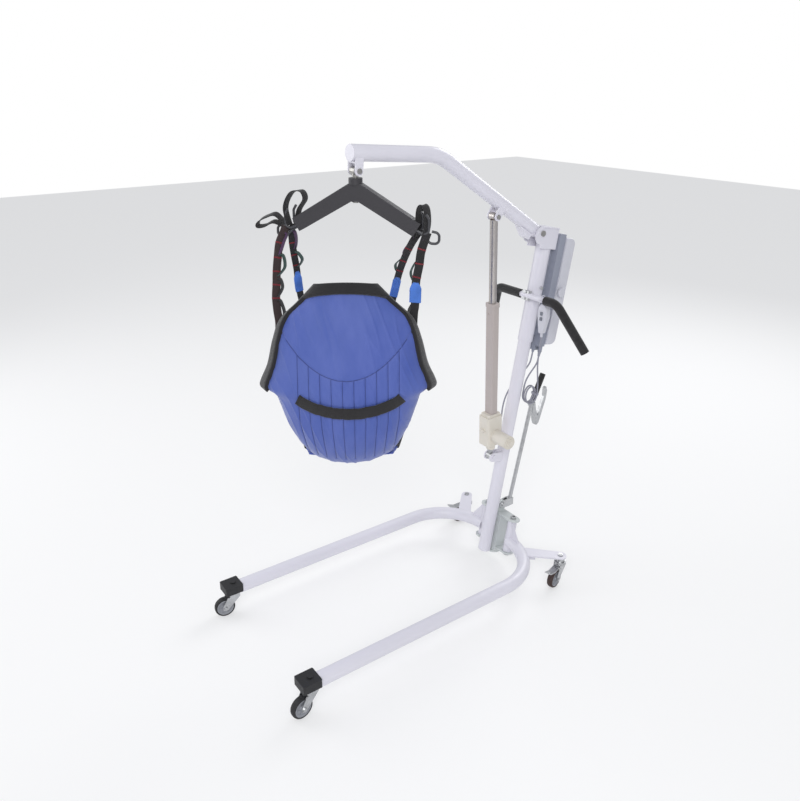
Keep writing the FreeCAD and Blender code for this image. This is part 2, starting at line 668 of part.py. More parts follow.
def hanger_stem():
    """The eye that hangs on the clevis screws, with the stem that the spreader bar turns on and its nut."""
    down = S.bar_below_pin
    eye = cylinder("clevis_round - 1", "eye_wide", spot(-S.eye_wide / 2, 0, 0, turn(Y_AXIS, 90)))
    neck = cylinder("stem / 2 + 3", "14", spot(0, 0, -17))
    stem = cylinder("stem / 2", str(down + 25), spot(0, 0, -down - 37))
    nut = doc.addObject("Part::Prism", "Nut")
    bind(nut, Circumradius=words("stem * 0.8"), Height="10")
    nut.Placement = spot(0, 0, -down - 34.5)
    bore = cylinder("small_bolt / 2 + running", "100", spot(-50, 0, 0, turn(Y_AXIS, 90)))
    body = cut(fuse(eye, neck, stem, nut), bore)
    return node("hanger_stem", body, FreeCAD.Placement(HANGER_PIN, turn(X_AXIS, 0)))


def bar_outline(inset):
    """Half-plane outline of the inverted V, drawn in from its edges by inset."""
    slope = math.atan2(S.bar_drop, S.bar_span)
    along_arm = V(math.cos(slope), -math.sin(slope), 0)
    up = V(math.sin(slope), math.cos(slope), 0)
    deep = S.bar_deep / 2 - inset
    end_top = V(S.bar_span, -S.bar_drop, 0) + up * (deep - 2) - along_arm * inset
    end_low = V(S.bar_span, -S.bar_drop, 0) - up * (deep - 2) - along_arm * inset
    crown = deep / math.cos(slope)
    flat = 18.0
    top = V(flat, crown - flat * math.tan(slope) + 3 - inset / 3, 0)
    low = V(flat * 0.6, -crown - flat * 0.6 * math.tan(slope) + 2, 0)
    right = [top, end_top, end_low, low]
    left = [V(-p.x, p.y, 0) for p in reversed(right)]
    return [(p.x, p.y) for p in right + left]


def spreader_bar():
    """A folded box section with an open underside, and the hub that turns on the hanger's stem."""
    body = new_body("Bar")
    outline = new_sketch(body, "XZ_Plane")
    add_outline(outline, bar_outline(0))
    pad(body, outline, "bar_thick", True)
    doc.recompute()
    inside = new_sketch(body, "XZ_Plane")
    hollow = bar_outline(S.bar_wall)
    lowered = [(x, z - (12 if i in (2, 3, 4, 5) else 0)) for i, (x, z) in enumerate(hollow)]
    add_outline(inside, lowered)
    pocket(body, inside, "bar_thick - 2 * bar_wall", True)
    hub = cylinder("hub_od / 2", "hub_up - bar_deep / 2 + 8", spot(0, 0, S.bar_deep / 2 - 8))
    core = cylinder("bar_thick / 2 - bar_wall + 1", "bar_deep + 4", spot(0, 0, -S.bar_deep / 2))
    bore = cylinder("stem / 2 + running", "200", spot(0, 0, -100))
    wires = [hook_wire(sign, *hook, 0.02) for hook in HOOKS for sign in (-1, 1)]
    return node("spreader_bar", cut(fuse(body, hub, core), bore, *wires), BAR)


# each wire hook as points out from the bar's end and up from the middle of its end, with its arcs
RING = [(-14, -2), (16, -16), (40, -40), (66, -40), (66, -8), (44, -4)]
OUTER_HOOK = [(-14, 4), (22, -12), (36, -4), (36, 32), (27, 47)]
INNER_HOOK = [(-26, 12), (-2, -4), (14, 2), (14, 42), (5, 57)]
HOOKS = ((RING, 0.0, (20, 12, 13, 13)), (OUTER_HOOK, -8.5, (14, 9, 12)), (INNER_HOOK, 8.5, (14, 9, 12)))


def hook_wire(sign, points, along_bar, radii, more=0.0):
    """One bent wire hook, rooted in the hollow end of the bar, grown by more for its hole."""
    line = [(sign * (S.bar_span + out), along_bar, up - S.bar_drop) for out, up in points]
    return solid(pipe(route(line, radii), S.hook_wire / 2 + more), "Hook")


def hooks(side):
    """An open ring at the bar's end, with two upright hooks beside it that the sling hangs on."""
    sign = 1 if side == "left" else -1
    return node("hooks_" + side, group(*[hook_wire(sign, *hook) for hook in HOOKS]), BAR)


# ---- actuator ----

def gearbox():
    """The gear housing around the screw, with the round collar at the bottom and the rod eye under it."""
    low, high = S.gear_low, S.gear_low + S.gear_high
    housing = rounded(block("gear_wide", "gear_deep", "gear_high", spot(-S.gear_wide / 2, -S.gear_deep / 2 - 2, low)),
                      9, along(Z_AXIS))
    shoulder = rounded(block("gear_wide - 10", "gear_deep - 14", "10", spot(-S.gear_wide / 2 + 5, -S.gear_deep / 2 + 5,
                                                                          high)), 6, along(Z_AXIS))
    collar = cylinder("17", "24", spot(0, 0, low - 24))
    tab = block("20", "10", "7", spot(-10, -S.gear_deep / 2 - 11, low + 62))
    mouth = spot(-14, S.gear_deep / 2 + 12, S.gland_up, turn(X_AXIS, 90))
    gland = cut(cylinder("cable_od / 2 + 2.6", "16", mouth), cylinder("cable_od / 2 + 1", "5", mouth))
    room = block("case_wide + 0.4", "case_deep + 0.4", "60", spot(-S.case_wide / 2 - 0.2, -S.case_deep / 2 - 0.2, high - 20))
    return node("gearbox", cut(fuse(housing, shoulder, collar, tab, gland), room), ACTUATOR)


def actuator_eye():
    """The steel rod eye at the foot of the actuator."""
    eye = cylinder("15", "eye_wide - 2", spot(-S.eye_wide / 2 + 1, 0, 0, turn(Y_AXIS, 90)))
    neck = cylinder("9", "gear_low - 24 - 10", spot(0, 0, 10))
    ring = cylinder("13", "5", spot(0, 0, S.gear_low - 31))
    bore = cylinder("small_bolt / 2 + running", "100", spot(-50, 0, 0, turn(Y_AXIS, 90)))
    return node("actuator_eye", cut(fuse(eye, neck, ring), bore), ACTUATOR)


def actuator_motor():
    """The motor can, set square to the gearbox, with a stepped end cover."""
    start = S.gear_wide / 2
    steps = [("motor_od / 2", start, S.motor_reach - start), ("motor_od / 2 - 3", S.motor_reach, 4.0),
             ("motor_od / 2 - 9", S.motor_reach + 4, 4.0), ("motor_od / 2 - 16", S.motor_reach + 8, 3.0)]
    pieces = [cylinder(radius, str(long), spot(x, 0, S.motor_up, turn(Y_AXIS, 90))) for radius, x, long in steps]
    return node("actuator_motor", fuse(*pieces), ACTUATOR)


def actuator_case():
    """The rectangular outer tube that the rod slides in, with its wiper collar at the top."""
    low = S.gear_low + S.gear_high - 19
    case = rounded(block("case_wide", "case_deep", "case_top - 14 - %s" % low, spot(-S.case_wide / 2, -S.case_deep / 2, low)),
                   6, along(Z_AXIS))
    collar = rounded(block("case_wide + 4", "case_deep + 4", "14", spot(-S.case_wide / 2 - 2, -S.case_deep / 2 - 2,
                                                                      S.case_top - 14)), 7, along(Z_AXIS))
    screw = cylinder("3.5", "3", spot(-6, -S.case_deep / 2 + 0.5, S.case_top - 40, turn(X_AXIS, 90)))
    bore = cylinder("rod_od / 2 + running", "1000", spot(0, 0, low + 4))
    return node("actuator_case", cut(fuse(case, collar, screw), bore), ACTUATOR)


def actuator_rod():
    """The inner rod and the flat-sided end that sits between the boom's ears."""
    end = S.act_long
    rod = cylinder("rod_od / 2", "act_long - rod_in - 12", spot(0, 0, S.rod_in))
    tip = cylinder("rod_od / 2 - 1", "eye_wide", spot(-S.eye_wide / 2, 0, end, turn(Y_AXIS, 90)))
    return node("actuator_rod", fuse(rod, tip), ACTUATOR)


def actuator_mount():
    """The clevis on the mast that carries the actuator's foot, with its bolt."""
    half = S.eye_wide / 2 + 0.5
    plates = []
    for x in (-half - 5, half):
        plate = block("5", "foot_fore - tube_od / 2 + 6", "36", spot(x, -S.foot_fore, S.foot_up - 20))
        lobe = cylinder("18", "5", spot(x, -S.foot_fore, S.foot_up - 2, turn(Y_AXIS, 90)))
        plates += [plate, lobe]
    back = block(str(2 * half), "6", "44", spot(-half, -S.tube_od / 2 - 5, S.foot_up - 26))
    mast_room = cylinder("tube_od / 2", "400", spot(0, 0, S.foot_up - 200))
    bolt = cylinder("small_bolt / 2", str(2 * half + 16), spot(-half - 8, -S.foot_fore, S.foot_up, turn(Y_AXIS, 90)))
    head = cylinder("small_bolt * 0.8", "4", spot(half + 5, -S.foot_fore, S.foot_up, turn(Y_AXIS, 90)))
    return node("actuator_mount", fuse(cut(fuse(back, *plates), mast_room), bolt, head), MAST)


# ---- handlebar, grips and handset ----

BAR_FORE = S.sleeve_od / 2 + S.bar_od / 2
BAR_MIDDLE = on_mast(S.bar_up, -BAR_FORE)


def bar_points(sign, start):
    """The handlebar's line on one side, from a distance out of the middle to its end."""
    corner = BAR_MIDDLE + V(sign * S.bar_corner, 0, 0)
    end = corner + V(sign * S.bar_out, S.bar_rear, -S.bar_down)
    return [BAR_MIDDLE + V(sign * start, 0, 0), corner, end]


def handlebar():
    """One bent tube across the front of the mast, with both ends turned out, back and down."""
    points = list(reversed(bar_points(-1, 0)))[:2] + bar_points(1, 0)[1:]
    line = route([tuple(p) for p in points], [S.bar_curve, S.bar_curve])
    return node("handlebar", solid(pipe(line, S.bar_od / 2)))


def grip(side):
    """A foam grip over one end of the handlebar."""
    sign = 1 if side == "left" else -1
    start = S.grip_left_start if side == "left" else S.grip_right_start
    points = bar_points(sign, start)
    way = (points[2] - points[1]).normalize()
    points[2] = points[2] + way * 5
    line = route([tuple(p) for p in points], [S.bar_curve])
    outer = pipe(line, S.grip_od / 2)
    points[2] = points[2] - way * 5
    room = pipe(route([tuple(p) for p in points], [S.bar_curve]), S.bar_od / 2 + 0.02)
    return node("grip_" + side, solid(outer.cut(room)))


def mast_fasteners():
    """The handlebar's saddle clamp with its bolts, and the screws that hold the control box's bracket."""
    fore = -BAR_FORE
    saddle = block("34", "16", "34", spot(-17, fore - 8, S.bar_up - 17))
    bar_room = cylinder("bar_od / 2 + 0.05", "60", spot(-30, fore, S.bar_up, turn(Y_AXIS, 90)))
    mast_room = cylinder("sleeve_od / 2 + 0.1", "100", spot(0, 0, S.bar_up - 50))
    clamp = cut(saddle, bar_room, mast_room)
    pieces = [clamp]
    for up in (-13, 13):
        pieces.append(cylinder("4.5", "4", spot(0, fore - 8, S.bar_up + up, turn(X_AXIS, 90))))
    side_bolt = cylinder("6", "7", spot(S.sleeve_od / 2 + 0.1, -2, S.bar_up + 34, turn(Y_AXIS, 90)))
    pieces.append(side_bolt)
    for up in (S.box_low + 60, S.bracket_low - 30):
        pieces.append(cylinder("5", "5", spot(0, S.sleeve_od / 2 + 0.1, up, turn(X_AXIS, -90))))
    return node("mast_fasteners", group(*pieces), MAST)


HANDSET_TOP = BAR_MIDDLE + V(S.handset_x, 14, -S.bar_od / 2 - 8)
HANDSET = FreeCAD.Placement(HANDSET_TOP, turn(Y_AXIS, 3))


def handset_body():
    """The hand control: a tapered shell with a wire hook that hangs over the handlebar."""
    wide, long, deep = S.handset_wide, S.handset_long, S.handset_deep
    body = new_body("Handset")
    face = new_sketch(body, "XZ_Plane")
    add_outline(face, [(-wide * 0.28, 0), (wide * 0.28, 0), (wide / 2, -18), (wide / 2, -long * 0.45),
                       (wide * 0.2, -long), (-wide * 0.2, -long), (-wide / 2, -long * 0.45), (-wide / 2, -18)])
    pad(body, face, "handset_deep", True)
    shell = rounded(body, 5, lambda e: e.Curve.TypeId == "Part::GeomLine")
    shell.Placement = spot(0, 0, 0)
    windows = [block("11", "5", "13", spot(-5.5, -deep / 2 - 0.01, z - 6.5)) for z in button_heights()]
    relief = cylinder("cable_od / 2 + 2", "16", spot(0, 0, -long - 15))
    seat = cylinder("cable_od / 2 + 0.02", "1", spot(0, 0, -long - 15))
    bend = S.bar_od / 2 + 3.2
    hook_line = route([(0, 1, -6), (0, 1, 6), (0, -14 + bend, 12 + bend), (0, -14, 11 + 2 * bend), (0, -14 - bend, 12 + bend),
                       (0, -14 - bend, 8)], [3, 8, 10, 8])
    wire = solid(pipe(hook_line, 2.0), "HookWire")
    return node("handset_body", fuse(cut(shell, *windows), cut(relief, seat), wire), HANDSET)


def button_heights():
    return (-S.handset_long * 0.3, -S.handset_long * 0.48)


def handset_button(name, height):
    key = rounded(block("10.6", "5", "12.6", spot(-5.3, -S.handset_deep / 2 - 3.2, height - 6.3)), 2, along(Y_AXIS))
    key.Placement = spot(0, 0, 0)
    return node(name, cut(key, block("30", "10", "30", spot(-15, -S.handset_deep / 2 + 1.9, height - 15))), HANDSET)


# ---- control box ----

def control_bracket():
    """The back housing on the mast: a folded plate with a shallow box that the battery unit hangs on."""
    half = S.box_half
    plate = block("2 * box_half - 12", "back_split - back_fore", "box_high - box_low + 20",
                  spot(-half + 6, S.back_fore, S.box_low - 8))
    seat = block("30", "back_fore - sleeve_od / 2 + 2", "bracket_low - box_low - 35", spot(-15, S.sleeve_od / 2 - 1, S.box_low + 30))
    mast_room = cylinder("sleeve_od / 2", "2000", spot(0, 0, 0))
    screws = [cylinder("5.1", "30", spot(0, S.sleeve_od / 2 - 1, up, turn(X_AXIS, -90)))
              for up in (S.box_low + 60, S.bracket_low - 30)]
    return node("control_bracket", cut(fuse(plate, seat), mast_room, *screws), MAST)


def battery_unit():
    """The rounded battery and control unit on the back housing."""
    half = S.box_half
    shape = block("2 * box_half", "box_rear - back_split - 0.3", "box_high - box_low",
                  spot(-half, S.back_split + 0.3, S.box_low))
    soft = rounded(shape, S.box_round, lambda e: along(X_AXIS)(e) and e.CenterOfMass.y > S.box_rear - 1)
    shell = rounded(soft, 5, lambda e: e.CenterOfMass.y > S.box_rear - 0.5)
    socket = cylinder("9", "6", spot(-half, S.back_split + 22, S.box_low + 330, turn(Y_AXIS, 90)))
    stop_room = cylinder("8.3", "40", spot(half - 14, S.back_split + 16, S.box_low + 205, turn(Y_AXIS, 90)))
    return node("battery_unit", cut(shell, socket, stop_room), MAST)


def stop_button():
    """A mushroom stop button on the near side of the unit."""
    x = S.box_half
    place = spot(x, S.back_split + 16, S.box_low + 205, turn(Y_AXIS, 90))
    stalk = cylinder("8", "18", place * spot(0, 0, -10))
    head = cylinder("17", "9", place * spot(0, 0, 6))
    collar = rounded(fuse(head, stalk), 3, lambda e: e.Curve.TypeId == "Part::GeomCircle"
                     and abs(e.Curve.Radius - 17) < 0.01 and e.Curve.Center.x > x + 10)
    return node("stop_button", collar, MAST)


PLUG = (32.0, 57.0)
BLOCK_OUTLET = (6.0, 48.0)


def relief(place, long=18.0):
    """A tapered strain relief, narrow end down, with a seat for the end of the cable."""
    cone = doc.addObject("Part::Cone", "Relief")
    bind(cone, Radius1=words("cable_od / 2 + 1.2"), Radius2="6.5", Height=str(long))
    cone.Placement = place
    return cut(cone, cylinder("cable_od / 2 + 0.02", "1", place))


def cable_plugs():
    """The plug of the hand control under the back housing, and the dark outlet block beside it."""
    top = S.box_low - 8
    plug = fuse(cylinder("8", "24", spot(*PLUG, top - 24)), relief(spot(*PLUG, top - 42)))
    outlet = rounded(block("42", "28", "20", spot(-22, 36, top - 20)), 2, along(Z_AXIS))
    return node("cable_plugs", group(plug, fuse(outlet, relief(spot(*BLOCK_OUTLET, top - 32), 13))), MAST)


# ---- spreading lever ----

LUG = FreeCAD.Placement(on_mast(S.lug_up, S.lug_back), FreeCAD.Rotation())
LEVER_LEAN = math.radians(S.lever_lean)
LEVER_FOOT = V(0, 42.5, 3.0)
LEVER_BEND = LEVER_FOOT + V(0, math.sin(LEVER_LEAN), math.cos(LEVER_LEAN)) * S.lever_long
CATCH_PIN = LEVER_BEND - V(0, 0.5, 2)
GRIP_WAY = V(0, math.sin(math.radians(24.6)), math.cos(math.radians(24.6)))


def lever_line(start, end, radius):
    """The lever's bent rod from a distance below its bend to a distance above it."""
    up = (LEVER_BEND - LEVER_FOOT).normalize()
    points = [LEVER_BEND - up * start, LEVER_BEND, LEVER_BEND + GRIP_WAY * end]
    return pipe(route([tuple(p) for p in points], [70.0]), radius)


def lever_rod():
    """The rod with the forked block that turns on the lug bolt."""
    rod = solid(lever_line(S.lever_long, S.lever_grip - 6, S.lever_od / 2), "LeverRod")
    cheeks = []
    for x in (-10.5, 5.3):
        plate = padded("Cheek", "YZ_Plane", [(-8, -14), (30, -17), (54, -15), (54, 16), (30, 18), (-8, 14)], "5.2", False)
        plate.Placement = spot(x)
        cheeks.append(plate)
        cheeks.append(cylinder("14.5", "5.2", spot(x, -4, 0, turn(Y_AXIS, 90))))
    back = block("21", "26", "30", spot(-10.5, 28, -14))
    hole = cylinder("small_bolt / 2", "60", spot(-30, 0, 0, turn(Y_AXIS, 90)))
    shank = cylinder("small_bolt / 2", "23", spot(-12, 0, 0, turn(Y_AXIS, 90)))
    head = cylinder("small_bolt * 0.8", "4", spot(10.5, 0, 0, turn(Y_AXIS, 90)))
    catch_pin = cylinder("2", "30", spot(-15, CATCH_PIN.y, CATCH_PIN.z, turn(Y_AXIS, 90)))
    return node("lever_rod", fuse(cut(fuse(back, *cheeks), hole), rod, shank, head, catch_pin), LUG)


def lever_grip():
    place = FreeCAD.Placement(LEVER_BEND + GRIP_WAY * 14, turn(X_AXIS, -24.6))
    sleeve = rounded(cylinder("lever_grip_od / 2", "lever_grip - 14", place), 3,
                     lambda e: e.Curve.TypeId == "Part::GeomCircle")
    return node("lever_grip", cut(sleeve, cylinder("lever_od / 2 + 0.02", "lever_grip - 20", place)), LUG)


# the catch's outline behind and above its pin, for a catch 157 tall
CATCH_LINE = [(-6, 13), (4, -31), (14, -79), (20, -93), (30, -98), (40, -92), (45, -81), (74, 9), (78, 41),
              (72, 59), (64, 55), (63, 19), (34, -59), (22, -27), (14, 15)]


def lever_catch():
    """A folded grey squeeze handle behind the rod, with its clip around the rod."""
    share = S.catch_tall / 157
    shape = padded("Catch", "YZ_Plane", [(CATCH_PIN.y + y * share, CATCH_PIN.z + z * share) for y, z in CATCH_LINE],
                   "13")
    soft = rounded(shape, 3, lambda e: along(X_AXIS)(e) and e.CenterOfMass.z < CATCH_PIN.z - 91 * share)
    upright = FreeCAD.Placement(CATCH_PIN, turn(X_AXIS, -S.lever_lean))
    clip = cylinder("lever_od / 2 + 4.5", "16", upright * spot(0, 0, -8))
    room = solid(lever_line(160, 60, S.lever_od / 2 + 1.6), "RodRoom")
    pin_room = cylinder("2 + running", "60", spot(-30, CATCH_PIN.y, CATCH_PIN.z, turn(Y_AXIS, 90)))
    grip_room = cylinder("lever_grip_od / 2 + 0.5", "lever_grip",
                         FreeCAD.Placement(LEVER_BEND + GRIP_WAY * 13, turn(X_AXIS, -24.6)))
    return node("lever_catch", cut(fuse(soft, clip), room, pin_room, grip_room), LUG)


# ---- sling and straps, drawn at rest in the spreader bar's frame ----

def in_bar(x, y, z):
    """A place across, along and above the floor, seen in the spreader bar's own frame."""
    return V(x, y, z - BAR_CENTRE.z)


def on_sling(across, along_sling, up):
    """A place square to the sling, as shares of its half sizes."""
    return in_bar(across * S.sling_half, along_sling * S.sling_deep, S.sling_centre + up * S.sling_tall)


def in_sling(place):
    """A place square to the sling, moved to where the sling hangs, a little aside and turned from the bar."""
    return turn(Z_AXIS, S.sling_turn) * (place - V(S.sling_aside, 0, 0))


def hung(shape):
    """A shape drawn square to the sling, turned the way the sling hangs."""
    shape = shape.copy()
    shape.translate(V(-S.sling_aside, 0, 0))
    shape.rotate(V(0, 0, 0), Z_AXIS, S.sling_turn)
    return shape


def oval(half, deep, tall, centre):
    """A sphere stretched to its half sizes."""
    shape = Part.makeSphere(1.0)
    scale = FreeCAD.Matrix()
    scale.scale(half, deep, tall)
    shape = shape.transformGeometry(scale)
    shape.translate(centre)
    return shape


def sling_shell(more):
    """The seat without its flaps: a deep shell, higher at the back than at the front, grown by more."""
    centre = on_sling(0, -0.054, 0)
    thick = S.sling_thick + more
    outer = oval(S.sling_half + more, S.sling_deep + more, S.sling_tall + more, centre)
    inner = oval(S.sling_half - thick, S.sling_deep - thick, S.sling_tall - thick, centre)
    high = on_sling(0, -0.595, 0.975)
    low = on_sling(0, 0.649, -0.746)
    tilt = math.degrees(math.atan2(high.z - low.z, low.y - high.y))
    wide = 4 * S.sling_half
    over = Part.makeBox(wide, wide, wide)
    over.Placement = FreeCAD.Placement(high, turn(X_AXIS, -tilt)) * spot(-wide / 2, -wide / 3, more)
    return outer.cut(over).cut(inner)


def sling_body():
    """The padded seat with its two leg flaps."""
    shape = sling_shell(0).fuse([flap(sign, 0) for sign in (-1, 1)])
    return node("sling_body", solid(hung(shape), "Sling"), BAR)


def flap(sign, more):
    """One leg flap, grown by more on every side."""
    shape = Part.makeBox(S.flap_wide + 2 * more, S.sling_thick + 2 * more, S.flap_long + more)
    base = FreeCAD.Placement(on_sling(sign * 0.458, 0.562, -0.762), turn(X_AXIS, -16))
    shape.Placement = base * spot(-S.flap_wide / 2 - more, -more, 0)
    return shape


def ribbon(start, end):
    """A flat strap from start to end, its width turned to the side."""
    way = V(end - start).normalize()
    across = Y_AXIS.cross(way).normalize()
    shape = Part.makeBox(S.strap_thick, S.strap_wide, (end - start).Length)
    place = FreeCAD.Placement(start, FreeCAD.Rotation(way.cross(across) * -1, across, way, "ZXY"))
    shape.Placement = place * spot(-S.strap_thick / 2, -S.strap_wide / 2, 0)
    return shape


def largest(shape):
    """The largest piece of a strap that has been cut to what it meets."""
    return max(shape.Solids, key=lambda piece: piece.Volume)


def bar_space():
    """The room that the closed bar takes, with a small gap all round."""
    corners = [V(x, -S.bar_thick / 2 - 0.3, z) for x, z in bar_outline(-0.3)]
    return Part.Face(Part.makePolygon(corners + corners[:1])).extrude(V(0, S.bar_thick + 0.6, 0))


def straps(side):
    """The shoulder strap and the leg strap of one side, each hanging from its own hook."""
    sign = 1 if side == "left" else -1
    seat = hung(oval(S.sling_half + 0.3, S.sling_deep + 0.3, S.sling_tall + 0.3, on_sling(0, -0.054, 0)))
    low = S.bar_drop + S.hook_wire / 2
    out_back, down_back = S.bar_span + OUTER_HOOK[1][0] + 5, OUTER_HOOK[1][1] + 1.2
    out_front, down_front = S.bar_span + INNER_HOOK[1][0] + 4, INNER_HOOK[1][1] + 0.6
    back = ribbon(V(sign * out_back, -8.5, down_back - low), in_sling(on_sling(sign * 0.782, -0.324, 0.333)))
    front = ribbon(V(sign * out_front, 8.5, down_front - low), in_sling(on_sling(sign * 0.458, 0.882, -0.206)))
    back = largest(back.cut(seat).cut(bar_space()))
    front = largest(front.cut(hung(sling_shell(0.3))).cut(hung(flap(sign, 0.3))).cut(bar_space()))
    return node("straps_" + side, group(solid(back, "Shoulder"), solid(front, "Thigh")), BAR)


def sling_handle():
    """The carrying strap across the back of the seat."""
    top = on_sling(0, 0, -0.108).z
    points = [(-0.58, 0), (-0.344, 0.6), (0, 1), (0.344, 0.6), (0.58, 0)]
    centre = on_sling(0, -0.054, 0)
    curve = []
    for across, sag in points:
        x = across * S.sling_half
        z = top - sag * S.handle_sag
        inside = 1 - (x / S.sling_half) ** 2 - ((z - centre.z) / S.sling_tall) ** 2
        curve.append((x, centre.y - 3 - S.sling_deep * math.sqrt(inside), z))
    strips = []
    for a, b in zip(curve, curve[1:]):
        low = V(*a) - V(0, 2.2, 18)
        way = V(b[0] - a[0], b[1] - a[1], 0)
        strip = Part.makeBox(way.Length + 1, 2.0, 36)
        strip.Placement = FreeCAD.Placement(low, turn(Z_AXIS, math.degrees(math.atan2(way.y, way.x)))) * spot(0, -2.0, 0)
        strips.append(strip)
    return node("sling_handle", solid(hung(strips[0].fuse(strips[1:])), "Handle"), BAR)


# ---- cables ----

def cable(name, points, radius):
    """A round cable on straight runs joined by arcs, with its length and volume checked."""
    radii = loose_radii(points)
    line = route(points, radii)
    tube = pipe(line, radius)
    section = math.pi * radius * radius
    print(name, "radii", [round(r, 1) for r in radii], "length", round(line.Length, 1),
          "volume ratio", round(tube.Volume / (section * line.Length), 4))
    return solid(tube, name)


def coil_points(centre, sizes, pitch, steps=12):
    """Points of a loose coil around the X axis, from its rear side down: one (half width, half height) a half turn."""
    points = []
    for i in range((len(sizes) - 1) * steps // 2 + 1):
        half, share = divmod(i / (steps / 2), 1)
        one = sizes[int(half)]
        two = sizes[min(int(half) + 1, len(sizes) - 1)]
        wide = one[0] + (two[0] - one[0]) * share
        tall = one[1] + (two[1] - one[1]) * share
        angle = 2 * math.pi * i / steps
        points.append((centre.x - pitch * i / steps, centre.y + wide * math.cos(angle), centre.z - tall * math.sin(angle)))
    return points


COIL = V(42.0, 527.0, 708.0)
COIL_SIZES = ((28, 34), (30, 38), (28, 33), (30, 36), (28, 38), (27, 33))


def handset_run():
    """From the hand control down to a coiled surplus, and up to the plug under the housing."""
    start = HANDSET * V(0, 0, -S.handset_long - 14)
    end = MAST * V(*PLUG, S.box_low - 49)
    points = [tuple(start), (start.x - 2, start.y, start.z - 40), (64, 523, 868), (52, 536, 822),
              (45, 548, 780), (42.5, 554, 744)]
    points += coil_points(COIL, COIL_SIZES, 10.0)
    points += [(16, 506, 732), (16, 511, 758), (20, 522, 784), (25, 536, 806), (30, 549, 826),
               (32, end.y - 1, end.z - 18), tuple(end)]
    return points


def handset_cable():
    return node("handset_cable", cable("handset_cable", handset_run(), S.cable_od / 2))


def motor_cable():
    """From the outlet block, past the left of the mast, to the gland on the gearbox."""
    start = MAST * V(*BLOCK_OUTLET, S.box_low - 39)
    end = ACTUATOR * V(-14, S.gear_deep / 2 + 9.4, S.gland_up)
    below = MAST * V(*BLOCK_OUTLET, S.box_low - 51)
    points = [tuple(start), tuple(below), (-4, 552, 822), (-14, 528, 790), (-26, 504, 758), (-35, 478, 722),
              (-38, 460, 686), (-35, 448, 652), (end.x - 14, end.y + 34, end.z + 3), (end.x, end.y + 20, end.z),
              tuple(end)]
    return node("motor_cable", cable("motor_cable", points, S.cable_od / 2))


def cable_tie():
    """A band around the rear side of the coiled cable."""
    low = COIL - V(23.6, -21.9, 5)
    band = cut(block("30.2", "10.2", "9", spot(low.x - 1.5, low.y - 1.5, low.z)),
               block("27.2", "7.2", "20", spot(low.x, low.y, low.z - 5)))
    run = handset_run()
    strands = solid(pipe(route(run, loose_radii(run)), S.cable_od / 2 + 0.05), "Strands")
    return node("cable_tie", cut(band, strands))


# ---- the whole hoist ----

base_frame()
leg_pivot_bolts()
for side in ("left", "right"):
    leg(side)
    leg_cap(side)
    caster_studs(side)
    grip(side)
    hooks(side)
    straps(side)
for corner, (_, _, _, _, braked) in CASTERS.items():
    caster_fork(corner)
    caster_wheel(corner)
    if braked:
        brake_pedal(corner)
mast_lower()
mast_upper()
mast_bracket()
mast_fasteners()
boom_pivot_bolt()
boom_tube()
boom_cap()
boom_saddle()
hanger_clevis()
clevis_screws("rod_screws", BOOM * spot(0, -S.clevis_along, -S.clevis_drop), S.eye_wide / 2 + 1)
clevis_screws("hanger_pin", FreeCAD.Placement(HANGER_PIN, turn(X_AXIS, 0)), 0)
hanger_stem()
spreader_bar()
gearbox()
actuator_eye()
actuator_motor()
actuator_case()
actuator_rod()
actuator_mount()
handlebar()
handset_body()
for name, height in zip(("button_up", "button_down"), button_heights()):
    handset_button(name, height)
control_bracket()
battery_unit()
stop_button()
cable_plugs()
lever_rod()
lever_grip()
lever_catch()
sling_body()
sling_handle()
handset_cable()
motor_cable()
cable_tie()

doc.recompute()
for thing in doc.Objects:
    if "Invalid" in thing.State or "Error" in thing.State:
        raise RuntimeError("%s (%s) is %s" % (thing.Name, thing.Label, thing.State))
os.makedirs("parts", exist_ok=True)
for name, thing in NODES.items():
    shape = thing.Shape
    if shape.isNull() or not shape.isValid():
        raise RuntimeError("bad shape: " + name)
    shape.exportStep("parts/%s.step" % name)
box = Part.makeCompound([thing.Shape for thing in NODES.values()]).BoundBox
print(len(NODES), "nodes; box", [round(v, 1) for v in (box.XMin, box.XMax, box.YMin, box.YMax, box.ZMin, box.ZMax)])
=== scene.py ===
import json
import math

import bmesh
import bpy
import numpy as np
from mathutils import Matrix, Vector, noise
from mathutils.bvhtree import BVHTree
from mathutils.kdtree import KDTree


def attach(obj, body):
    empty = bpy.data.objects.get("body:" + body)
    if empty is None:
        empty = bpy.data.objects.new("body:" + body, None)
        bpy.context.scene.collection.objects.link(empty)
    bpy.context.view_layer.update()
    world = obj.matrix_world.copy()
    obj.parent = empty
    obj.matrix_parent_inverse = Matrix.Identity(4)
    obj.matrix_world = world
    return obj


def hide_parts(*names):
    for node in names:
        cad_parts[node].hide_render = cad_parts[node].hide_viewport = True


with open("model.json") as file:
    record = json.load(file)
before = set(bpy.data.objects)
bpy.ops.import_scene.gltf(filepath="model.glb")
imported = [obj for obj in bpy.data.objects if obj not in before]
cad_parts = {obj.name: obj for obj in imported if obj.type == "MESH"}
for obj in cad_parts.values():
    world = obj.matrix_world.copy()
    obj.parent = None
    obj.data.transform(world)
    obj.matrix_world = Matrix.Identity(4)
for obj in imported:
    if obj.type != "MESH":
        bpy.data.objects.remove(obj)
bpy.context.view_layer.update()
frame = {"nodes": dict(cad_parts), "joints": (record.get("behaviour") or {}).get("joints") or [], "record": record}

NODES = frame["nodes"]


# ---------------------------------------------------------------- camera, light and stage

def rgb(red, green, blue):
    """A screen colour from 0 to 255 as Blender's linear values."""
    def linear(value):
        value /= 255.0
        return value / 12.92 if value <= 0.04045 else ((value + 0.055) / 1.055) ** 2.4
    return (linear(red), linear(green), linear(blue), 1.0)


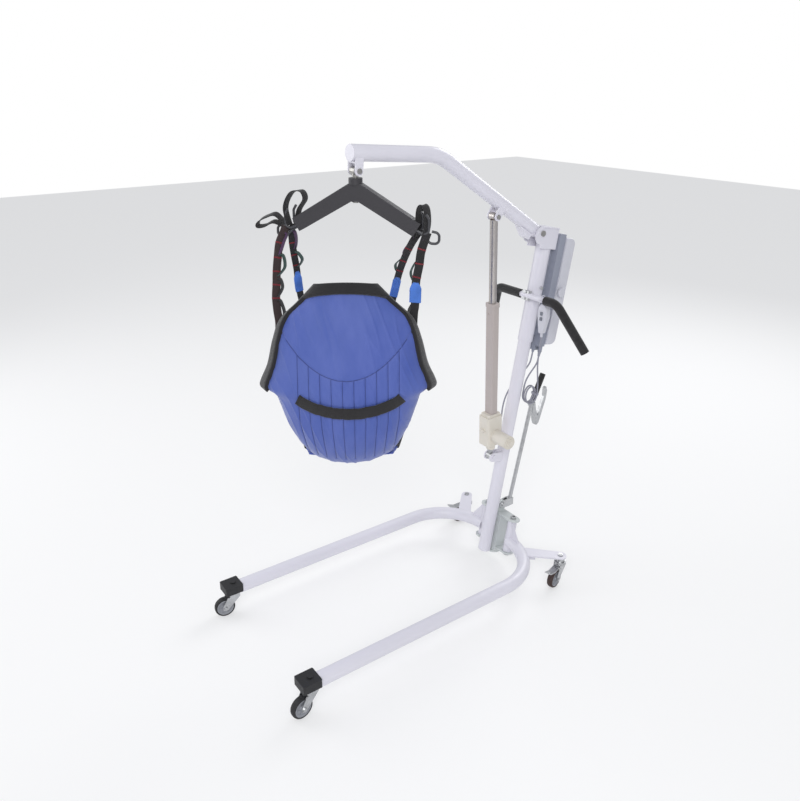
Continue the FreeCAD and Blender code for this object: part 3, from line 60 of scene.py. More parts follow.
def add_camera():
    data = bpy.data.cameras.new("Camera")
    data.sensor_fit = "HORIZONTAL"
    data.lens = 34.13
    data.shift_x = 0.002
    data.shift_y = -0.038
    camera = bpy.data.objects.new("Camera", data)
    camera.location = (1.9494, -1.4649, 1.8698)
    camera.rotation_euler = (math.radians(90 - 21.3), 0, math.radians(54.6))
    bpy.context.scene.collection.objects.link(camera)
    bpy.context.scene.camera = camera


def add_lamp(name, place, target, size, power, colour=(1, 1, 1)):
    data = bpy.data.lights.new(name, "AREA")
    data.shape = "DISK"
    data.size = size
    data.energy = power
    data.color = colour
    lamp = bpy.data.objects.new(name, data)
    lamp.location = place
    lamp.rotation_euler = (Vector(target) - Vector(place)).to_track_quat("-Z", "Y").to_euler()
    bpy.context.scene.collection.objects.link(lamp)


def add_stage():
    """A white world seen by the camera, a softer one as light and in reflections, and a pale floor."""
    world = bpy.data.worlds.new("Studio")
    bpy.context.scene.world = world
    world.use_nodes = True
    tree = world.node_tree
    tree.nodes.clear()
    out = tree.nodes.new("ShaderNodeOutputWorld")
    mix = tree.nodes.new("ShaderNodeMixShader")
    path = tree.nodes.new("ShaderNodeLightPath")
    seen = tree.nodes.new("ShaderNodeBackground")
    light = tree.nodes.new("ShaderNodeBackground")
    seen.inputs["Color"].default_value = (1, 1, 1, 1)
    seen.inputs["Strength"].default_value = 1.0
    light.inputs["Color"].default_value = (0.93, 0.95, 1.0, 1)
    light.inputs["Strength"].default_value = 0.55
    tree.links.new(path.outputs["Is Camera Ray"], mix.inputs["Fac"])
    tree.links.new(light.outputs[0], mix.inputs[1])
    tree.links.new(seen.outputs[0], mix.inputs[2])
    tree.links.new(mix.outputs[0], out.inputs["Surface"])
    mesh = bpy.data.meshes.new("floor")
    half = 12.0
    corners = [(-half, -half, 0), (half, -half, 0), (half, half, 0), (-half, half, 0)]
    mesh.from_pydata(corners, [], [(0, 1, 2, 3)])
    floor = bpy.data.objects.new("floor", mesh)
    bpy.context.scene.collection.objects.link(floor)
    material = bpy.data.materials.new("floor")
    material.use_nodes = True
    tree = material.node_tree
    shader = tree.nodes["Principled BSDF"]
    shader.inputs["Base Color"].default_value = (0.93, 0.93, 0.93, 1)
    shader.inputs["Roughness"].default_value = 0.9
    grain = tree.nodes.new("ShaderNodeTexNoise")
    grain.inputs["Scale"].default_value = 60
    bump = tree.nodes.new("ShaderNodeBump")
    bump.inputs["Strength"].default_value = 0.03
    tree.links.new(grain.outputs["Fac"], bump.inputs["Height"])
    tree.links.new(bump.outputs["Normal"], shader.inputs["Normal"])
    path = tree.nodes.new("ShaderNodeLightPath")
    glow = tree.nodes.new("ShaderNodeEmission")
    glow.inputs["Strength"].default_value = 1.0
    share = tree.nodes.new("ShaderNodeMath")
    share.operation = "MULTIPLY"
    share.inputs[1].default_value = 0.45
    mix = tree.nodes.new("ShaderNodeMixShader")
    tree.links.new(path.outputs["Is Camera Ray"], share.inputs[0])
    tree.links.new(share.outputs[0], mix.inputs["Fac"])
    tree.links.new(shader.outputs[0], mix.inputs[1])
    tree.links.new(glow.outputs[0], mix.inputs[2])
    tree.links.new(mix.outputs[0], tree.nodes["Material Output"].inputs["Surface"])
    mesh.materials.append(material)
    add_lamp("Key", (3.2, -2.6, 3.4), (0, 0, 0.8), 2.6, 95)
    add_lamp("Fill", (-3.0, -2.4, 2.2), (0, 0, 0.9), 3.0, 40)
    add_lamp("Back", (-1.0, 3.4, 3.0), (0, 0.2, 0.9), 2.4, 55)


bpy.context.scene.view_settings.view_transform = "Standard"
add_camera()
add_stage()


# ---------------------------------------------------------------- materials

class Look:
    """A material that is built from a Principled shader and procedural texture nodes."""

    def __init__(self, name, colour, rough=0.5, metal=0.0):
        self.material = bpy.data.materials.new(name)
        self.material.use_nodes = True
        self.tree = self.material.node_tree
        self.shader = self.tree.nodes["Principled BSDF"]
        self.colour = colour
        self.shader.inputs["Base Color"].default_value = colour
        self.shader.inputs["Roughness"].default_value = rough
        self.shader.inputs["Metallic"].default_value = metal
        self.height = None
        place = self.tree.nodes.new("ShaderNodeTexCoord")
        self.place = place.outputs["Object"]

    def node(self, kind, **values):
        made = self.tree.nodes.new(kind)
        for key, value in values.items():
            if key in made.inputs:
                made.inputs[key].default_value = value
            else:
                setattr(made, key, value)
        return made

    def link(self, a, b):
        self.tree.links.new(a, b)

    def noise(self, scale, detail=3.0, rough=0.5, stretch=None):
        made = self.node("ShaderNodeTexNoise", Scale=scale, Detail=detail, Roughness=rough)
        where = self.place
        if stretch:
            mapping = self.node("ShaderNodeMapping")
            mapping.inputs["Scale"].default_value = stretch
            self.link(where, mapping.inputs["Vector"])
            where = mapping.outputs["Vector"]
        self.link(where, made.inputs["Vector"])
        return made.outputs["Fac"]

    def ramp(self, source, low, high, start=0.35, end=0.65):
        made = self.node("ShaderNodeMapRange")
        made.inputs["From Min"].default_value = start
        made.inputs["From Max"].default_value = end
        made.inputs["To Min"].default_value = low
        made.inputs["To Max"].default_value = high
        self.link(source, made.inputs["Value"])
        return made.outputs["Result"]

    def tint(self, source, other, amount=1.0, start=0.35, end=0.65):
        """Mixes another colour in where source is high."""
        mix = self.node("ShaderNodeMix", data_type="RGBA")
        factor = self.ramp(source, 0.0, amount, start, end)
        self.link(factor, mix.inputs["Factor"])
        before = self.shader.inputs["Base Color"]
        if before.is_linked:
            self.link(before.links[0].from_socket, mix.inputs["A"])
        else:
            mix.inputs["A"].default_value = self.colour
        mix.inputs["B"].default_value = other
        self.link(mix.outputs["Result"], before)
        return self

    def roughness(self, source, low, high, start=0.3, end=0.7):
        self.link(self.ramp(source, low, high, start, end), self.shader.inputs["Roughness"])
        return self

    def bump(self, source, strength, distance=0.001):
        made = self.node("ShaderNodeBump", Strength=strength, Distance=distance)
        self.link(source, made.inputs["Height"])
        normal = self.shader.inputs["Normal"]
        if normal.is_linked:
            self.link(normal.links[0].from_socket, made.inputs["Normal"])
        self.link(made.outputs["Normal"], normal)
        return self

    def edges(self, other, amount=0.5, start=0.52, end=0.6):
        """Wear on convex edges, from the surface's pointiness."""
        geometry = self.node("ShaderNodeNewGeometry")
        return self.tint(geometry.outputs["Pointiness"], other, amount, start, end)


def darker(colour, share):
    return (colour[0] * share, colour[1] * share, colour[2] * share, 1.0)


def powder_coat(name, colour, rough=0.38):
    look = Look(name, colour, rough)
    peel = look.noise(900, 2.0)
    cloud = look.noise(3.0, 4.0)
    look.tint(cloud, darker(colour, 0.93), 0.7)
    look.roughness(look.noise(25, 3.0), rough - 0.06, rough + 0.08)
    look.bump(peel, 0.08, 0.0003)
    look.shader.inputs["Coat Weight"].default_value = 0.25
    look.shader.inputs["Coat Roughness"].default_value = 0.2
    return look.material


def plated(name, colour, rough=0.32, streak=(1, 1, 1)):
    look = Look(name, colour, rough, 1.0)
    look.tint(look.noise(45, 5.0, 0.6, streak), darker(colour, 0.72), 0.8)
    look.tint(look.noise(7, 3.0), darker(colour, 1.12), 0.5)
    look.roughness(look.noise(90, 4.0, 0.6, streak), rough - 0.1, rough + 0.14)
    look.bump(look.noise(700, 2.0, 0.5, streak), 0.12, 0.0003)
    return look.material


def moulded(name, colour, rough=0.5, grain=1300):
    look = Look(name, colour, rough)
    look.tint(look.noise(2.2, 3.0), darker(colour, 0.94), 0.8)
    look.roughness(look.noise(40, 3.0), rough - 0.06, rough + 0.08)
    look.bump(look.noise(grain, 2.0), 0.18, 0.0004)
    return look.material


def foam(name, colour):
    look = Look(name, colour, 0.85)
    look.tint(look.noise(60, 4.0), darker(colour, 1.9), 0.7)
    cells = look.node("ShaderNodeTexVoronoi", Scale=1600)
    look.link(look.place, cells.inputs["Vector"])
    look.bump(cells.outputs["Distance"], 0.3, 0.0005)
    look.bump(look.noise(35, 3.0), 0.15, 0.002)
    look.shader.inputs["Sheen Weight"].default_value = 0.2
    return look.material


def rubber(name, colour):
    look = Look(name, colour, 0.62)
    look.tint(look.noise(70, 5.0, 0.7), darker(colour, 2.2), 0.6, 0.5, 0.75)
    look.roughness(look.noise(120, 3.0), 0.5, 0.78)
    look.bump(look.noise(500, 3.0), 0.25, 0.0006)
    return look.material


def webbing(name, colour, pitch=0.0011):
    """Woven strap: a fine rib from two crossed waves."""
    look = Look(name, colour, 0.8)
    scale = 1.0 / (pitch * 2 * math.pi) * 6.28
    one = look.node("ShaderNodeTexWave", Scale=scale / 3.1, Distortion=0.4, bands_direction="DIAGONAL")
    two = look.node("ShaderNodeTexWave", Scale=scale / 2.3, Distortion=0.3, bands_direction="Z")
    for wave in (one, two):
        look.link(look.place, wave.inputs["Vector"])
    look.tint(one.outputs["Fac"], darker(colour, 1.7), 0.7, 0.2, 0.9)
    look.tint(look.noise(18, 4.0), darker(colour, 0.6), 0.6)
    look.bump(one.outputs["Fac"], 0.35, 0.0005)
    look.bump(two.outputs["Fac"], 0.35, 0.0005)
    look.shader.inputs["Sheen Weight"].default_value = 0.25
    return look.material


def quilted(name, colour):
    """Smooth coated polyester with a fine cross weave, faint creases and uneven dye."""
    look = Look(name, colour, 0.62)
    warp = look.node("ShaderNodeTexWave", Scale=620, Distortion=0.3, bands_direction="X")
    weft = look.node("ShaderNodeTexWave", Scale=620, Distortion=0.3, bands_direction="Z")
    for wave in (warp, weft):
        look.link(look.place, wave.inputs["Vector"])
    look.tint(look.noise(5.0, 4.0, 0.6), rgb(62, 84, 168), 0.55)
    look.tint(look.noise(16.0, 3.0, 0.5, (1, 1, 0.4)), rgb(96, 112, 186), 0.35)
    look.bump(look.noise(26.0, 5.0, 0.6, (1, 1, 0.35)), 0.25, 0.004)
    look.bump(warp.outputs["Fac"], 0.12, 0.0003)
    look.bump(weft.outputs["Fac"], 0.12, 0.0003)
    look.shader.inputs["Sheen Weight"].default_value = 0.3
    look.shader.inputs["Sheen Roughness"].default_value = 0.4
    return look.material


def sheath(name, colour):
    look = Look(name, colour, 0.42)
    look.tint(look.noise(30, 3.0), darker(colour, 0.85), 0.7)
    look.roughness(look.noise(80, 3.0), 0.35, 0.55)
    look.bump(look.noise(900, 2.0), 0.1, 0.0003)
    return look.material


WHITE = powder_coat("white_paint", rgb(226, 224, 233))
BASE = powder_coat("base_paint", rgb(206, 211, 210), 0.42)
BLACK_METAL = powder_coat("black_paint", rgb(52, 50, 54), 0.5)
WIRE = powder_coat("black_wire", rgb(62, 62, 66), 0.35)
ZINC = plated("zinc", rgb(196, 197, 198))
STEEL = plated("steel", rgb(178, 176, 172), 0.28, (1, 1, 0.1))
ROD = plated("rod", rgb(200, 194, 190), 0.3, (6, 6, 0.15))
CASE = moulded("case_grey", rgb(186, 176, 172), 0.5)
CREAM = moulded("motor_cream", rgb(222, 216, 204), 0.5)
BOX_LIGHT = moulded("box_light", rgb(208, 208, 216), 0.45)
BOX_DARK = moulded("box_dark", rgb(150, 154, 168), 0.5)
BLACK_PLASTIC = moulded("black_plastic", rgb(34, 34, 36), 0.55)
KEY = moulded("button", rgb(120, 124, 134), 0.6)
FOAM = foam("foam", rgb(30, 29, 30))
TYRE_BLACK = rubber("tyre_black", rgb(34, 34, 36))
TYRE_BROWN = rubber("tyre_brown", rgb(62, 46, 42))
HUB = moulded("hub_grey", rgb(150, 152, 158), 0.45)
BLUE = quilted("blue_fabric", rgb(76, 96, 170))
BLUE_TAB = webbing("blue_tab", rgb(70, 116, 200))
WEB_BLACK = webbing("webbing", rgb(26, 24, 26))
WEB_BROWN = webbing("webbing_brown", rgb(52, 38, 38))
PURPLE = webbing("webbing_purple", rgb(76, 42, 84))
GREEN = webbing("webbing_green", rgb(28, 62, 56))
SEAM = sheath("seam", rgb(46, 58, 118))
THREAD = sheath("red_thread", rgb(176, 44, 60))
CABLE = sheath("cable", rgb(150, 150, 162))

SLOT_LOOKS = {
    "white_paint": WHITE, "base_paint": BASE, "zinc": ZINC, "steel": STEEL, "black_paint": BLACK_METAL,
    "black_wire": WIRE, "case_grey": CASE, "motor_cream": CREAM, "box_light": BOX_LIGHT, "box_dark": BOX_DARK,
    "black_plastic": BLACK_PLASTIC, "foam": FOAM, "tyre": TYRE_BLACK, "cable": CABLE, "button": KEY,
    "blue_fabric": BLUE, "webbing": WEB_BLACK,
}
for part in frame["record"]["subparts"]:
    data = NODES[part["node"]].data
    data.materials.clear()
    data.materials.append(SLOT_LOOKS[part["material_slot"]])
NODES["actuator_rod"].data.materials[0] = ROD


# ---------------------------------------------------------------- mesh helpers

def piece(name, vertices, faces, look, body, smooth=True):
    mesh = bpy.data.meshes.new(name)
    mesh.from_pydata([tuple(v) for v in vertices], [], faces)
    mesh.update()
    made = bpy.data.objects.new(name, mesh)
    bpy.context.scene.collection.objects.link(made)
    mesh.materials.append(look)
    if smooth:
        mesh.polygons.foreach_set("use_smooth", [True] * len(mesh.polygons))
    if body:
        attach(made, body)
    return made


def modify(thing, kind, **values):
    """Adds a modifier and applies it at once."""
    modifier = thing.modifiers.new(kind, kind)
    for key, value in values.items():
        setattr(modifier, key, value)
    graph = bpy.context.evaluated_depsgraph_get()
    graph.update()
    mesh = bpy.data.meshes.new_from_object(thing.evaluated_get(graph))
    thing.modifiers.clear()
    thing.data = mesh
    return thing


def lathe(profile, place, steps=48):
    """A surface of revolution: profile holds (radius, height) about the local Z axis."""
    vertices, faces = [], []
    count = len(profile)
    for i in range(steps):
        angle = 2 * math.pi * i / steps
        for radius, height in profile:
            vertices.append(place @ Vector((radius * math.cos(angle), radius * math.sin(angle), height)))
    for i in range(steps):
        j = (i + 1) % steps
        for k in range(count - 1):
            faces.append((i * count + k, j * count + k, j * count + k + 1, i * count + k + 1))
    return vertices, faces


def smooth_path(points, steps=8):
    """A Catmull-Rom line through points."""
    points = [Vector(p) for p in points]
    padded = [points[0] * 2 - points[1]] + points + [points[-1] * 2 - points[-2]]
    out = []
    for i in range(1, len(padded) - 2):
        a, b, c, d = padded[i - 1:i + 3]
        for k in range(steps):
            t = k / steps
            out.append(0.5 * ((2 * b) + (c - a) * t + (2 * a - 5 * b + 4 * c - d) * t * t
                              + (3 * b - a - 3 * c + d) * t ** 3))
    out.append(points[-1])
    return out


# a strap's section: its edges are a little thinner than its middle
WEB_SECTION = ((-1, -1), (-0.9, -1.3), (0.9, -1.3), (1, -1), (1, 1), (0.9, 1.3), (-0.9, 1.3), (-1, 1))


def ribbon(points, sides, width, thick):
    """A flat band along points: sides gives the direction of its width at each point."""
    vertices, faces = [], []
    count = len(points)
    for i, point in enumerate(points):
        along = (points[min(i + 1, count - 1)] - points[max(i - 1, 0)]).normalized()
        side = sides[i] if isinstance(sides, list) else sides
        side = Vector(side)
        side = (side - along * side.dot(along)).normalized()
        flat = along.cross(side).normalized()
        wide = width[i] if isinstance(width, list) else width
        for across, up in WEB_SECTION:
            vertices.append(point + side * across * wide / 2 + flat * up * thick / 2.6)
    for i in range(count - 1):
        for k in range(8):
            n = (k + 1) % 8
            faces.append((i * 8 + k, i * 8 + n, (i + 1) * 8 + n, (i + 1) * 8 + k))
    faces.append(tuple(range(8)))
    faces.append(tuple((count - 1) * 8 + k for k in reversed(range(8))))
    return vertices, faces


def merge(*parts):
    vertices, faces = [], []
    for more, these in parts:
        base = len(vertices)
        vertices += list(more)
        faces += [tuple(base + k for k in face) for face in these]
    return vertices, faces


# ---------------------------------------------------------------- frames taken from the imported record

JOINTS = {joint["name"]: joint for joint in frame["joints"]}
BAR = Vector(JOINTS["spreader_swivel"]["pos_m"])
BAR_YAW = math.radians(40.6)
BAR_TURN = Matrix.Rotation(BAR_YAW, 4, "Z")


def in_bar(x, y, z):
    """A place across and along the spreader bar's own axes, at a height above the floor."""
    return Vector((BAR.x, BAR.y, 0)) + BAR_TURN @ Vector((x, y, z))


# ---------------------------------------------------------------- casters

def wheel(corner):
    """A moulded hub with a recessed web and bearing boss, and a rubber tyre with a rounded tread."""
    joint = JOINTS[corner + "_roll"]
    axis = Vector(joint["axis"])
    place = Matrix.Translation(Vector(joint["pos_m"])) @ axis.to_track_quat("Z", "Y").to_matrix().to_4x4()
    tyre = [(0.0300, -0.0105), (0.0318, -0.0118), (0.0345, -0.0112), (0.0364, -0.0085), (0.0373, -0.0045),
            (0.0375, -0.0012), (0.0375, 0.0012), (0.0373, 0.0045), (0.0364, 0.0085), (0.0345, 0.0112),
            (0.0318, 0.0118), (0.0300, 0.0105), (0.0300, -0.0105)]
    vertices, faces = lathe(tyre, place, 72)
    look = TYRE_BROWN if corner.startswith("rear") else TYRE_BLACK
    rubber_ring = piece(corner + "_tyre", vertices, faces, look, corner + "_roller")
    hub = [(0.0041, -0.0135), (0.0085, -0.0135), (0.0095, -0.0125), (0.0100, -0.0075), (0.0125, -0.0068),
           (0.0235, -0.0068), (0.0255, -0.0100), (0.0270, -0.0112), (0.0300, -0.0112), (0.0303, -0.0100),
           (0.0303, 0.0100), (0.0300, 0.0112), (0.0270, 0.0112), (0.0255, 0.0100), (0.0235, 0.0068),
           (0.0125, 0.0068), (0.0100, 0.0075), (0.0095, 0.0125), (0.0085, 0.0135), (0.0041, 0.0135),
           (0.0041, -0.0135)]
    parts = [lathe(hub, place, 72)]
    for i in range(6):
        spoke = place @ Matrix.Rotation(i * math.pi / 3, 4, "Z")
        for side in (-1, 1):
            rib = spoke @ Matrix.Translation((0.0170, 0, side * 0.0076))
            parts.append(bevelled_box(rib, (0.0140, 0.0022, 0.0020), 0.0006))
    vertices, faces = merge(*parts)
    core = piece(corner + "_hub", vertices, faces, HUB, corner + "_roller")
    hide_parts(corner + "_wheel")
    return core


def bevelled_box(place, size, round_by):
    """A box with cut corners, as vertices and faces."""
    made = bmesh.new()
    bmesh.ops.create_cube(made, size=1.0)
    bmesh.ops.scale(made, vec=size, verts=made.verts)
    bmesh.ops.bevel(made, geom=list(made.edges), offset=round_by, segments=2, affect="EDGES", profile=0.6)
    vertices = [place @ v.co for v in made.verts]
    faces = [tuple(v.index for v in face.verts) for face in made.faces]
    made.free()
    return vertices, faces


for corner in ("front_left", "front_right", "rear_left", "rear_right"):
    wheel(corner)


# ---------------------------------------------------------------- cables

def cable(name, points, diameter, body):
    """A round cable on one smooth line through its control points."""
    data = bpy.data.curves.new(name, "CURVE")
    data.dimensions = "3D"
    data.resolution_u = 10
    data.bevel_depth = diameter / 2
    data.bevel_resolution = 4
    data.use_fill_caps = True
    spline = data.splines.new("NURBS")
    spline.points.add(len(points) - 1)
    for i, point in enumerate(points):
        spline.points[i].co = (point[0], point[1], point[2], 1.0)
    spline.order_u = 3
    spline.use_endpoint_u = True
    made = bpy.data.objects.new(name, data)
    bpy.context.scene.collection.objects.link(made)
    data.materials.append(CABLE)
    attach(made, body)
    return made


def coil_points(centre, sizes, pitch, steps=12):
    """Points of a loose coil: one (half width, half height) a half turn."""
    points = []
    for i in range((len(sizes) - 1) * steps // 2 + 1):
        half, share = divmod(i / (steps / 2), 1)
        one = sizes[int(half)]
        two = sizes[min(int(half) + 1, len(sizes) - 1)]
        wide = one[0] + (two[0] - one[0]) * share
        tall = one[1] + (two[1] - one[1]) * share
        angle = 2 * math.pi * i / steps
        points.append((centre[0] - pitch * i / steps, centre[1] + wide * math.cos(angle),
                       centre[2] - tall * math.sin(angle)))
    return points


COIL_SIZES = ((0.028, 0.034), (0.030, 0.038), (0.028, 0.033), (0.030, 0.036), (0.028, 0.038), (0.027, 0.033))
HANDSET_ROUTE = [(0.0764, 0.5187, 0.9603), (0.0744, 0.5187, 0.9203), (0.064, 0.523, 0.868),
                 (0.052, 0.536, 0.822), (0.045, 0.548, 0.780), (0.0425, 0.554, 0.744)]
HANDSET_ROUTE += coil_points((0.042, 0.527, 0.708), COIL_SIZES, 0.010)
HANDSET_ROUTE += [(0.016, 0.506, 0.732), (0.016, 0.511, 0.758), (0.020, 0.522, 0.784), (0.025, 0.536, 0.806),
                  (0.030, 0.549, 0.826), (0.032, 0.5572, 0.8437), (0.032, 0.5582, 0.8617)]
MOTOR_ROUTE = [(0.006, 0.5514, 0.873), (0.006, 0.5494, 0.8612), (-0.004, 0.552, 0.822), (-0.014, 0.528, 0.790),
               (-0.026, 0.504, 0.758), (-0.035, 0.478, 0.722), (-0.038, 0.460, 0.686), (-0.035, 0.448, 0.652),
               (-0.028, 0.4379, 0.6241), (-0.014, 0.4239, 0.6211), (-0.014, 0.4023, 0.6211)]
handset_cable = cable("hand_cable", HANDSET_ROUTE, 0.006, "base")
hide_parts("handset_cable")
motor_cable = cable("drive_cable", MOTOR_ROUTE, 0.006, "base")
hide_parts("motor_cable")


# ---------------------------------------------------------------- sling

SLING_TURN = BAR_TURN @ Matrix.Rotation(math.radians(15.0), 4, "Z")


def in_sling(x, y, z):
    """A place across and along the sling's own axes, at a height above the floor."""
    return Vector((BAR.x, BAR.y, 0)) + SLING_TURN @ Vector((x - 0.033, y, z))


def to_sling(point):
    """The same place in the sling's own axes."""
    local = SLING_TURN.inverted() @ (point - Vector((BAR.x, BAR.y, 0)))
    return Vector((local.x + 0.033, local.y, local.z))


# rows from the top edge at the back, round under the seat, to its front:
# share, y and z of the middle line, half width, how far the side edges come forward and drop
SLING_ROWS = [
    (0.00, -0.088, 1.284, 0.088, 0.020, 0.003), (0.05, -0.104, 1.250, 0.142, 0.045, 0.010),
    (0.12, -0.124, 1.205, 0.196, 0.078, 0.012), (0.22, -0.152, 1.135, 0.222, 0.108, 0.010),
    (0.34, -0.178, 1.050, 0.243, 0.135, 0.009), (0.44, -0.191, 0.980, 0.268, 0.152, 0.005),
    (0.47, -0.193, 0.958, 0.270, 0.156, 0.003), (0.53, -0.193, 0.915, 0.238, 0.156, -0.004),
    (0.62, -0.186, 0.850, 0.222, 0.156, -0.010), (0.72, -0.166, 0.782, 0.208, 0.150, -0.015),
    (0.81, -0.132, 0.722, 0.190, 0.130, -0.018), (0.89, -0.086, 0.680, 0.168, 0.100, -0.016),
    (0.95, -0.040, 0.662, 0.150, 0.070, -0.008), (1.00, 0.010, 0.655, 0.142, 0.040, 0.004),
]
SIDE_TURN = math.radians(82.8)


def along_rows(rows, share):
    """Values of a table of rows at a share, smoothly between rows."""
    i = max(j for j in range(len(rows)) if rows[j][0] <= share + 1e-9)
    i = min(i, len(rows) - 2)
    before, a, b, after = rows[max(i - 1, 0)], rows[i], rows[i + 1], rows[min(i + 2, len(rows) - 1)]
    span = b[0] - a[0]
    t = (share - a[0]) / span
    out = []
    for k in range(1, len(a)):
        left = (b[k] - before[k]) / (b[0] - before[0]) * span
        right = (after[k] - a[k]) / (after[0] - a[0]) * span
        out.append((2 * t ** 3 - 3 * t * t + 1) * a[k] + (t ** 3 - 2 * t * t + t) * left
                   + (-2 * t ** 3 + 3 * t * t) * b[k] + (t ** 3 - t * t) * right)
    return out


def seat_place(across, share):
    """A place on the seat's outer face: across from -1 to 1, share from its top edge to its front."""
    y, z, half, forward, drop = along_rows(SLING_ROWS, share)
    angle = across * SIDE_TURN
    rise = 1 - math.cos(angle)
    return (half * math.sin(angle) / math.sin(SIDE_TURN), y + forward * rise, z - drop * rise * 4)


def seat_surface(across, share):
    return in_sling(*seat_place(across, share))


def grid(across_steps, down_steps, point):
    vertices = [point(-1 + 2 * i / across_steps, j / down_steps) for j in range(down_steps + 1)
                for i in range(across_steps + 1)]
    row = across_steps + 1
    faces = [(j * row + i, (j + 1) * row + i, (j + 1) * row + i + 1, j * row + i + 1)
             for j in range(down_steps) for i in range(across_steps)]
    return vertices, faces


QUILT_LINES = [-0.150 + 0.0345 * i for i in range(10)]


def seam_height(x):
    """Height of the curved seam across the back: lowest in the middle."""
    return 1.008 + 3.1 * x * x


def seam_distance(x, z):
    """Distance from a place on the back to the nearest sewn line, along the back."""
    nearest = abs(z - seam_height(x)) / math.sqrt(1 + (6.2 * x) ** 2)
    if z < seam_height(x):
        for line in QUILT_LINES:
            below = max(0.715 - z, 0.0)
            nearest = min(nearest, math.hypot(x - line * (1 - max(0.0, 0.86 - z) * 0.8), below))
    return nearest


def swell(thing, voxel, pressure, cap, held):
    """Swells a closed mesh with cloth pressure: held gives how firmly a point stays, from 0 to 1."""
    modify(thing, "REMESH", mode="VOXEL", voxel_size=voxel)
    mesh = thing.data
    start = [v.co.copy() for v in mesh.vertices]
    firm = [held(co) for co in start]
    group = thing.vertex_groups.new(name="held")
    for i, weight in enumerate(firm):
        group.add([i], weight, "REPLACE")
    cloth = thing.modifiers.new("Cloth", "CLOTH")
    cloth.settings.quality = 5
    cloth.settings.mass = 0.25
    cloth.settings.tension_stiffness = 12
    cloth.settings.compression_stiffness = 12
    cloth.settings.bending_stiffness = 0.4
    cloth.settings.use_pressure = True
    cloth.settings.uniform_pressure_force = pressure
    cloth.settings.vertex_group_mass = "held"
    cloth.settings.effector_weights.gravity = 0
    cloth.point_cache.frame_start = 1
    cloth.point_cache.frame_end = 20
    scene = bpy.context.scene
    for step in range(1, 21):
        scene.frame_set(step)
    moved = thing.evaluated_get(bpy.context.evaluated_depsgraph_get()).data
    ends = [v.co.copy() for v in moved.vertices]
    thing.modifiers.clear()
    thing.vertex_groups.clear()
    scene.frame_set(1)
    for vertex, rest, end, weight in zip(mesh.vertices, start, ends, firm):
        push = end - rest
        if push.length > cap:
            push *= cap / push.length
        vertex.co = rest + push * (1 - weight)
    modify(thing, "SUBSURF", levels=1, render_levels=1)
    thing.data.polygons.foreach_set("use_smooth", [True] * len(thing.data.polygons))
    return thing


vertices, faces = grid(72, 96, seat_surface)
seat = piece("sling_seat", vertices, faces, BLUE, "")
modify(seat, "SOLIDIFY", thickness=0.009, offset=-1)
EDGE_POINTS = [seat_surface(side, j / 160) for side in (-1, 1) for j in range(161)]
EDGE_POINTS += [seat_surface(-1 + i / 40, end) for end in (0, 1) for i in range(81)]
EDGE_TREE = KDTree(len(EDGE_POINTS))
for i, co in enumerate(EDGE_POINTS):
    EDGE_TREE.insert(co, i)
EDGE_TREE.balance()


def seat_held(co):
    local = to_sling(co)
    border = max(0.0, 1 - max(EDGE_TREE.find(co)[2] - 0.012, 0) / 0.020)
    sewn = max(0.0, 1 - seam_distance(local.x, local.z) / 0.008) if local.y < 0.02 else 0.0
    return min(1.0, max(border, sewn))


swell(seat, 0.0055, 4.0, 0.007, seat_held)


def carve(thing):
    """Presses the sewn lines into the seat and adds the pulls that run from its border."""
    mesh = thing.data
    normals = [vertex.normal.copy() for vertex in mesh.vertices]
    for vertex, normal in zip(mesh.vertices, normals):
        local = to_sling(vertex.co)
        deep = 0.0
        if local.y < 0.05:
            deep = 0.0022 * math.exp(-(seam_distance(local.x, local.z) / 0.0035) ** 2)
        edge = EDGE_TREE.find(vertex.co)[2]
        pull = math.exp(-((edge - 0.045) / 0.03) ** 2)
        wave = noise.noise(Vector((local.x * 26, local.z * 26, 3.1))) * 0.0022 * pull
        crease = noise.noise(Vector(((local.x + local.z * 0.35) * 30, local.z * 5, 7.7)))
        ridge = (1 - abs(crease)) ** 6 * 0.0024 * min(1.0, edge / 0.05)
        vertex.co -= normal * (deep - wave - ridge)


carve(seat)
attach(seat, "spreader")
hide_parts("sling_body")
seat_mesh = seat.data
SEAT_TREE = BVHTree.FromPolygons([v.co.copy() for v in seat_mesh.vertices],
                                 [tuple(f.vertices) for f in seat_mesh.polygons])


def on_back(x, z, lift=0.0):
    """The place on the seat's back face at x and z of the sling's axes, raised by lift, and its normal."""
    outward = SLING_TURN.to_3x3() @ Vector((0, -1, 0))
    hit, normal, _, _ = SEAT_TREE.ray_cast(in_sling(x, -0.6, z), -outward)
    if hit is None:
        return None, None
    if normal.dot(outward) < 0:
        normal = -normal
    return hit + normal * lift, normal


def sewn_line(places, width, lift, thick):
    """A narrow band that follows the seat's back through (x, z) places."""
    points, sides = [], []
    for x, z in places:
        point, normal = on_back(x, z, lift)
        if point is not None:
            points.append(point)
            sides.append(normal)
    across = []
    for i, normal in enumerate(sides):
        along = points[min(i + 1, len(points) - 1)] - points[max(i - 1, 0)]
        across.append(along.cross(normal))
    return ribbon(points, across, width, thick)


lines = [sewn_line([(x, seam_height(x)) for x in np.linspace(-0.185, 0.185, 90)], 0.0016, 0.0002, 0.0014)]
for line in QUILT_LINES:
    top = seam_height(line) - 0.002
    lines.append(sewn_line([(line * (1 - max(0.0, 0.86 - z) * 0.8), z) for z in np.linspace(top, 0.715, 70)],
                           0.0013, 0.0002, 0.0012))
vertices, faces = merge(*lines)
piece("sling_seams", vertices, faces, SEAM, "spreader")


